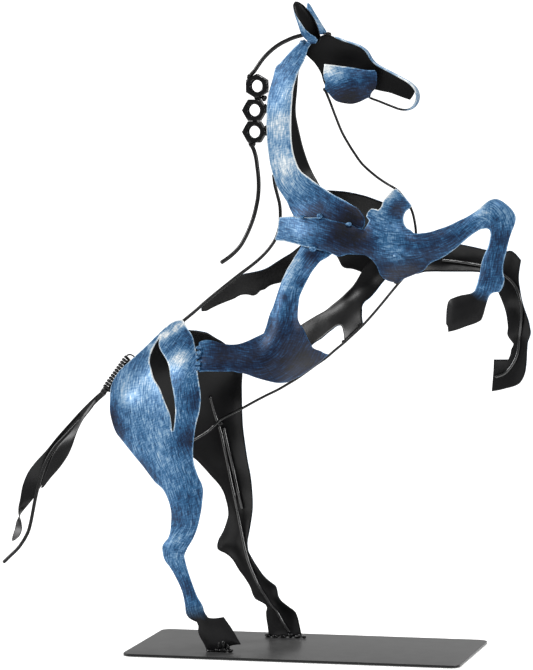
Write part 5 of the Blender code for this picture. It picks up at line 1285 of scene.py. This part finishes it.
@dataclass
class Nut:
    """A hexagon nut on edge, its corners chamfered and its bore threaded."""

    name: str
    x: float
    z: float
    turn: float
    around: int = 96
    thread_rows: int = 40

    def build(self, finish: bpy.types.Material) -> bpy.types.Object:
        """Makes the nut.

        Going round the bore, the profile runs down the hexagon, whose reach is the flat's distance over the
        cosine of the angle from its middle, cut by a cone at both faces, then over the face and back through
        the bore, whose radius ripples by one pitch a turn.

        Args:
            finish: Its material.

        Returns:
            The nut's object.
        """
        angle = np.arange(self.around) * 2 * math.pi / self.around
        from_flat = np.abs(angle % (math.pi / 3) - math.pi / 6)
        hexagon = NUT_AF / 2 / np.cos(from_flat)
        half, bore = NUT_H / 2, NUT_BORE / 2
        upper = half - np.array([0, 0.35, 0.8, 1.4])
        heights = np.concatenate([upper, -upper[::-1]])
        cone = NUT_AF / 2 * 0.985 + (half - np.abs(heights)) * 1.75
        outside = np.minimum(hexagon[:, None], cone[None])
        thread_y = np.linspace(-half + 0.5, half - 0.5, self.thread_rows)
        ripple = np.abs((thread_y[None] / NUT_PITCH + angle[:, None] / (2 * math.pi)) % 1.0 - 0.5) * 2
        thread = bore + 0.05 + 0.75 * ripple
        mouth = np.full((self.around, 1), bore + 0.85)
        radius = np.concatenate([outside, mouth, thread, mouth], 1)
        y = np.concatenate([heights, [-half], thread_y, [half]])
        place = angle + math.radians(self.turn)
        vertices = np.stack([
            self.x + radius * np.cos(place)[:, None], np.broadcast_to(y, radius.shape),
            self.z + radius * np.sin(place)[:, None],
        ], -1).reshape(-1, 3)
        rows, sides = radius.shape
        i, j = np.meshgrid(np.arange(rows), np.arange(sides), indexing="ij")
        nexts, k = (i + 1) % rows, (j + 1) % sides
        faces = np.stack([i * sides + j, i * sides + k, nexts * sides + k, nexts * sides + j], -1)
        obj = mesh_piece(self.name + "_hexagon", vertices, faces.reshape(-1, 4), [finish])
        turn_outwards(obj)
        obj.data.set_sharp_from_angle(angle=math.radians(32))
        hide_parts(self.name)
        return obj


@dataclass
class BasePlate:
    """The flat plate that the horse stands on, with rounded corners and a softened edge."""

    name: str = "base_plate"
    soften: float = 0.35

    def build(self, finish: bpy.types.Material, side_finish: bpy.types.Material) -> bpy.types.Object:
        """Makes the plate.

        Its outline is four quarter circles at the corners, and its profile is the side, both edges rounded.

        Args:
            finish: The material of its top, painted grey as a painted sheen.
            side_finish: The material of its cut sides and underside.

        Returns:
            The plate's object.
        """
        turn = np.linspace(0, math.pi / 2, 13)
        quarters = np.arange(4)[:, None] * math.pi / 2 + turn[None]
        signs = np.array([(1, 1), (-1, 1), (-1, -1), (1, -1)], float)
        inner = np.array([PLATE_X / 2 - PLATE_R, PLATE_Y / 2 - PLATE_R])
        way = np.stack([np.cos(quarters), np.sin(quarters)], -1)
        corner = (signs * inner)[:, None] + way * PLATE_R
        ring, out = corner.reshape(-1, 2), way.reshape(-1, 2)
        bend = np.linspace(0, math.pi / 2, 5)
        pull = self.soften * (1 - np.sin(bend))
        rise = self.soften * (1 - np.cos(bend))
        inset = np.concatenate([pull, pull[::-1]])
        height = np.concatenate([rise, PLATE_T - rise[::-1]])
        flat = ring[None] - out[None] * inset[:, None, None]
        vertices = np.concatenate([flat, np.broadcast_to(height[:, None, None], (*flat.shape[:2], 1))], -1)
        faces = tube_faces(len(height), len(ring))
        obj = mesh_piece(self.name + "_plate", vertices.reshape(-1, 3), faces, [finish, side_finish])
        rows = np.repeat(np.arange(len(height) - 1), len(ring))
        # The sides and underside keep the plate's black; the top gets the grey with its painted sheen.
        slots = np.concatenate([rows < len(height) - 3, [1, 0]]).astype(np.int32)
        obj.data.polygons.foreach_set("material_index", slots)
        turn_outwards(obj)
        obj.data.set_sharp_from_angle(angle=math.radians(40))
        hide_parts(self.name)
        return obj


@dataclass
class WeldBeads:
    """Small lumps of weld where pieces meet, all in one mesh."""

    name: str
    beads: Sequence[Point]
    slot: str

    def build(self, finish: bpy.types.Material) -> bpy.types.Object:
        """Makes the beads.

        Each is a ball with three radii whose surface is lifted by a slow ripple in both of its angles.

        Args:
            finish: Their material.

        Returns:
            The beads' object.
        """
        table = np.array(self.beads, float)
        rows, sides = 9, 14
        tilt = np.linspace(0.02, math.pi - 0.02, rows)[:, None]
        turn = (np.arange(sides) * 2 * math.pi / sides)[None]
        ball = np.stack(
            [np.sin(tilt) * np.cos(turn), np.cos(tilt) * np.ones_like(turn), np.sin(tilt) * np.sin(turn)], -1
        )
        seed = np.arange(len(table))[:, None, None]
        lift = 1 + 0.1 * np.sin(3 * turn + 2.1 * seed) * np.sin(tilt) + 0.07 * np.cos(5 * tilt + seed)
        vertices = table[:, None, None, :3] + ball[None] * table[:, None, None, 3:6] * lift[..., None]
        one = tube_faces(rows, sides)
        faces = [[index + k * rows * sides for index in face] for k in range(len(table)) for face in one]
        obj = mesh_piece(self.name, vertices.reshape(-1, 3), faces, [finish])
        turn_outwards(obj)
        count = len(obj.data.vertices)
        for name, value in (("edge", 0.0), ("tone", 0.58), ("black", 0.0)):
            write_attribute(obj, name, np.full(count, value))
        write_attribute(obj, "brush", vertices.reshape(-1, 3))
        return obj


@dataclass
class Horse:
    """The whole statue, built in order from the plate up."""

    finishes: Finishes

    def sheets(self) -> list[Sheet]:
        """Every sheet, with the way that it is brushed, where its tone is lighter or darker, and its painted
        highlights and painted shade.

        Returns:
            The sheets, from the hind legs up to the head.
        """
        return [
            Sheet(
                "right_haunch", RIGHT_HAUNCH, RIGHT_HAUNCH_DEPTH, Side.RIGHT,
                [(-98, 262), (-118, 215), (-110, 170), (-92, 130), (-84, 100), (-94, 76), (-84, 52),
                 (-78, 30), (-60, 4)],
                RIGHT_HAUNCH_TONE_HIGHLIGHT_SHADE, 0.06, RIGHT_SLIT, (-77, 33, 0.15, -1.0, 12.0, 60), 0.25,
                [(-80, 195, 32, 0.6), (-88, 248, 16, 0.5), (-82, 160, 16, 0.3), (-113, 247, 13, 0.9),
                 (-148, 196, 20, 0.5), (-134, 224, 13, 0.4)], 0.07,
            ),
            Sheet(
                "left_haunch", LEFT_HAUNCH, LEFT_HAUNCH_DEPTH, Side.LEFT,
                [(-90, 262), (-108, 215), (-95, 165), (-72, 125), (-62, 100), (-68, 74), (-52, 52),
                 (-44, 30), (-26, 4)],
                [(-120, 205, 14, 0.2), (-90, 170, 14, 0.1), (-62, 120, 8, -0.1), (-100, 235, 10, 0.15)],
                hoof=(-46, 27, 0.2, -1.0, 7.0, 60),
            ),
            Sheet(
                "right_flank", RIGHT_FLANK, RIGHT_FLANK_DEPTH, Side.RIGHT,
                [(-90, 222), (-50, 226), (-24, 228), (-10, 250), (-8, 280), (10, 316)], RIGHT_FLANK_TONE_HIGHLIGHT_SHADE,
            ),
            Sheet(
                "left_back_rib", LEFT_BACK_RIB, LEFT_BACK_RIB_DEPTH, Side.LEFT,
                [(-90, 258), (-40, 284), (12, 310)], [(-40, 280, 12, 0.1)],
            ),
            Sheet(
                "left_belly_band", LEFT_BELLY_BAND, LEFT_BELLY_BAND_DEPTH, Side.LEFT,
                [(-70, 220), (-20, 230), (20, 258), (58, 296)], [(-20, 230, 12, 0.1), (30, 265, 10, 0.1)],
                roll=0.0, slack=0.015,
            ),
            Sheet(
                "right_shoulder", RIGHT_SHOULDER, RIGHT_SHOULDER_DEPTH, Side.RIGHT,
                [(-30, 322), (20, 318), (70, 308), (110, 316), (148, 338), (152, 300), (140, 266),
                 (110, 256)],
                RIGHT_SHOULDER_TONE_HIGHLIGHT_SHADE, 0.02, (), (146, 274, -0.5, -1.0, 7.0, 48), 0.4,
                [(0, 333, 30, 0.6), (50, 335, 14, 0.5), (86, 325, 12, 0.4), (-20, 320, 10, 0.4),
                 (70, 352, 8, 0.3), (100, 323, 12, -0.1), (108, 300, 13, 0.4), (127, 313, 11, 0.45),
                 (143, 300, 18, 0.4)],
            ),
            Sheet(
                "left_shoulder", LEFT_SHOULDER, LEFT_SHOULDER_DEPTH, Side.LEFT,
                [(-20, 324), (30, 322), (70, 306), (120, 299), (150, 290), (156, 250), (156, 215),
                 (138, 204)],
                [(20, 330, 12, 0.15), (100, 300, 12, 0.1), (156, 250, 8, 0.1)],
                hoof=(150, 219, -0.3, -1.0, 7.0, 45), roll=0.4,
            ),
            Sheet(
                "right_neck", RIGHT_NECK, RIGHT_NECK_DEPTH, Side.RIGHT,
                [(2, 470), (-18, 430), (-21, 395), (-14, 360), (20, 340), (55, 328)],
                RIGHT_NECK_TONE_HIGHLIGHT_SHADE, 0.05, (), None, 0.36,
                [(-9, 405, 22, 0.6), (0, 362, 16, 0.5), (28, 347, 16, 0.5), (48, 332, 10, 0.4),
                 (-4, 440, 14, 0.4)],
            ),
            Sheet(
                "left_neck", LEFT_NECK, LEFT_NECK_DEPTH, Side.LEFT,
                [(-2, 466), (-18, 430), (-20, 395), (-12, 355), (20, 332)], [(-18, 405, 10, 0.2)], 0.05,
            ),
            Sheet(
                "head_plate", HEAD_PLATE, HEAD_PLATE_DEPTH, Side.LEFT, [(-6, 456), (30, 448), (84, 426)],
                [(20, 452, 10, 0.15)],
            ),
            Sheet(
                "cheek_plate", CHEEK_PLATE, CHEEK_PLATE_DEPTH, Side.RIGHT, [(8, 428), (30, 440), (60, 446)],
                CHEEK_TONE_HIGHLIGHT_SHADE, 0.02, (), None, 0.1, [(28, 447, 14, 0.8)],
            ),
        ]

    def rods(self) -> list[Rod]:
        """Every bent rod.

        Returns:
            The rods, with the tail's spring and its hook.
        """
        stand_off = (SHEET_T + LEG_ROD_D) / 2 + GAP + 0.05

        def on_sheet(name: str, places: Sequence[Point], depth: Sequence[Point]) -> Rod:
            """A rod that lies on the inner face of a left-side sheet."""
            y = depth_surface(depth, np.array(places, float)) - stand_off
            return Rod(name, [(x, float(d), z) for (x, z), d in zip(places, y)], LEG_ROD_D)

        return [
            Rod("mane_rod_upper", MANE_ROD_UPPER, ROD_D), Rod("mane_rod_lower", MANE_ROD_LOWER, ROD_D),
            Rod("spine_rod", SPINE_ROD, SPINE_ROD_D), Rod("belly_rod", BELLY_ROD, THIN_ROD_D),
            on_sheet("hind_leg_rod_top", HIND_ROD_TOP, LEFT_HAUNCH_DEPTH),
            on_sheet("hind_leg_rod_long", HIND_ROD_LONG, LEFT_HAUNCH_DEPTH),
            on_sheet("hind_leg_rod_short", HIND_ROD_SHORT, LEFT_HAUNCH_DEPTH),
            on_sheet("fore_leg_rod", FORE_ROD, LEFT_SHOULDER_DEPTH), Rod("tail_rod", TAIL_ROD, TAIL_ROD_D),
            self.spring(), Rod("tail_spring_hook", SPRING_HOOK, HOOK_D, replaces=False, step=0.6),
        ]

    def spring(self) -> Rod:
        """The tail's close-wound spring: a circle about its axis, moving along it by one pitch a turn.

        Returns:
            The spring as a rod whose path is the coil.
        """
        top, bottom = np.array(SPRING_TOP), np.array(SPRING_BOTTOM)
        along = (bottom - top) / np.linalg.norm(bottom - top)
        side = np.array([0.0, 1.0, 0.0])
        out = np.cross(along, side)
        share = np.linspace(0, 1, int(SPRING_TURNS * 24) + 1)[:, None]
        angle = 2 * math.pi * SPRING_TURNS * share
        line = top + (bottom - top) * share - out * SPRING_R * np.cos(angle) + side * SPRING_R * np.sin(angle)
        return Rod("tail_spring", line.tolist(), SPRING_WIRE_D, reference=tuple(along), sides=12, step=1.0)

    def strips(self) -> list[Strip]:
        """The strip round the head, widest at the nose, and the two of the tail.

        Returns:
            The three strips.
        """
        back, front = zip(*TAIL_STRIP_BACK), zip(*TAIL_STRIP_FRONT)
        muzzle = [
            (x, z, max(half, 2.4) + 1.6 * math.exp(-(((x - 86) / 8) ** 2))) for x, z, half in MUZZLE_PATH
        ]
        edges = ([(x, way * half, z) for x, z, half in muzzle] for way in (-1, 1))
        return [
            Strip("muzzle_strip", *edges, MUZZLE_STRIP_T, "blue_steel"),
            Strip("tail_strip_back", *back, TAIL_STRIP_T), Strip("tail_strip_front", *front, TAIL_STRIP_T),
        ]

    def build(self) -> None:
        """Builds every piece and reports it."""
        pieces = [BasePlate().build(self.finishes.plate, self.finishes.inside)]
        pieces += [sheet.build(self.finishes) for sheet in self.sheets()]
        for strip in self.strips():
            painted = strip.slot == "blue_steel"
            outer = self.finishes.enamel if painted else self.finishes.inside
            pieces.append(strip.build(outer, self.finishes.inside))
        pieces.append(Ear("right_ear", RIGHT_EAR, RIGHT_EAR_Y, 1, 0.5, hug=26).build(self.finishes))
        pieces.append(Ear("left_ear", LEFT_EAR, LEFT_EAR_Y, -1, 0.6, 0.86).build(self.finishes))
        pieces += [
            Nut(f"mane_nut_{number}", x, z, turn).build(self.finishes.nut)
            for number, (x, z, turn) in enumerate(NUT_CENTRES, 1)
        ]
        for rod in self.rods():
            plain = self.finishes.inside if rod.name.startswith("tail") else self.finishes.rod
            pieces.append(rod.build(self.finishes.leg_rod if "leg" in rod.name else plain))
        pieces.append(WeldBeads("black_weld_beads", BLACK_BEADS, "black_steel").build(self.finishes.nut))
        pieces.append(WeldBeads("blue_weld_beads", BLUE_BEADS, "blue_steel").build(self.finishes.enamel))
        for piece in pieces:
            logger.info("%s: %d faces", piece.name, len(piece.data.polygons))


@dataclass
class Studio:
    """The pale floor, the soft lights and the camera at the photograph's angle."""

    camera_place: Point = (0.683, -3.103, 0.499)  # metres
    yaw: float = 12.97  # degrees, turned to the left of straight ahead
    pitch: float = 4.63  # degrees, looking down
    focal_pixels: float = 4183.0
    frame_height: int = 670
    sensor_mm: float = 36.0

    def floor(self) -> None:
        """A wide pale floor just under the plate."""
        data = bpy.data.meshes.new("studio_floor")
        reach, drop = 0.8, 0.0004
        corners = [(x * reach, y * reach, -drop) for x, y in ((-1, -1), (1, -1), (1, 1), (-1, 1))]
        data.from_pydata(corners, [], [(0, 1, 2, 3)])
        made = bpy.data.materials.new("pale_studio_paper")
        made.use_nodes = True
        shader = made.node_tree.nodes["Principled BSDF"]
        shader.inputs["Base Color"].default_value = linear("#f6f6f5")
        shader.inputs["Roughness"].default_value = 0.9
        shader.inputs["Specular IOR Level"].default_value = 0.1
        shader.inputs["Emission Color"].default_value = linear("#ffffff")
        shader.inputs["Emission Strength"].default_value = 0.35
        data.materials.append(made)
        obj = bpy.data.objects.new("studio_floor", data)
        bpy.context.scene.collection.objects.link(obj)

    def light(self, name: str, place: Point, target: Point, size: float, watts: float) -> None:
        """One soft square light.

        Args:
            name: Its name.
            place: Where it is, in metres.
            target: What it is aimed at.
            size: Its side.
            watts: Its power.
        """
        lamp = bpy.data.lights.new(name, "AREA")
        lamp.energy, lamp.size = watts, size
        obj = bpy.data.objects.new(name, lamp)
        obj.location = place
        obj.rotation_euler = (Vector(target) - Vector(place)).to_track_quat("-Z", "Y").to_euler()
        bpy.context.scene.collection.objects.link(obj)

    def camera(self) -> None:
        """The camera: its direction from yaw and pitch, its lens from the focal length in pixels."""
        yaw, pitch = math.radians(self.yaw), math.radians(self.pitch)
        ahead = Vector((-math.sin(yaw) * math.cos(pitch), math.cos(yaw) * math.cos(pitch), -math.sin(pitch)))
        right = Vector((math.cos(yaw), math.sin(yaw), 0))
        up = right.cross(ahead)
        lens = bpy.data.cameras.new("photo_camera")
        lens.sensor_width, lens.lens = self.sensor_mm, self.focal_pixels / self.frame_height * self.sensor_mm
        lens.clip_end = 100.0
        obj = bpy.data.objects.new("photo_camera", lens)
        turn = Matrix((right, up, -ahead)).transposed()
        obj.matrix_world = Matrix.Translation(self.camera_place) @ turn.to_4x4()
        bpy.context.scene.collection.objects.link(obj)
        bpy.context.scene.camera = obj

    def build(self) -> None:
        """Sets up the stage."""
        self.floor()
        world = bpy.data.worlds.new("soft_room")
        world.use_nodes = True
        tree = world.node_tree
        seen = add_node(tree, "LightPath").outputs["Is Camera Ray"]
        strength = add_node(tree, "Math", {0: seen, 1: 1.0, 2: 0.4}, operation="MULTIPLY_ADD").outputs[0]
        tree.nodes["Background"].inputs["Color"].default_value = linear("#ffffff")
        tree.links.new(strength, tree.nodes["Background"].inputs["Strength"])
        bpy.context.scene.world = world
        self.light("key_softbox", (-2.8, -1.1, 1.4), (-0.03, 0, 0.25), 1.2, 72.0)
        self.light("front_softbox", (0.4, -2.0, 2.6), (0.0, 0, 0.25), 0.8, 34.0)
        self.light("side_softbox", (2.4, -1.0, 0.8), (0.0, 0, 0.25), 0.7, 22.0)
        self.light("back_softbox", (0.3, 1.6, 2.2), (0.0, 0, 0.25), 0.8, 36.0)
        bpy.context.scene.view_settings.view_transform = "Standard"
        self.camera()


def main() -> None:
    """Builds the statue and its stage."""
    logging.basicConfig(level=logging.INFO, format="%(name)s: %(message)s")
    Horse(Finishes()).build()
    Studio().build()


if __name__ == "__main__":
    main()
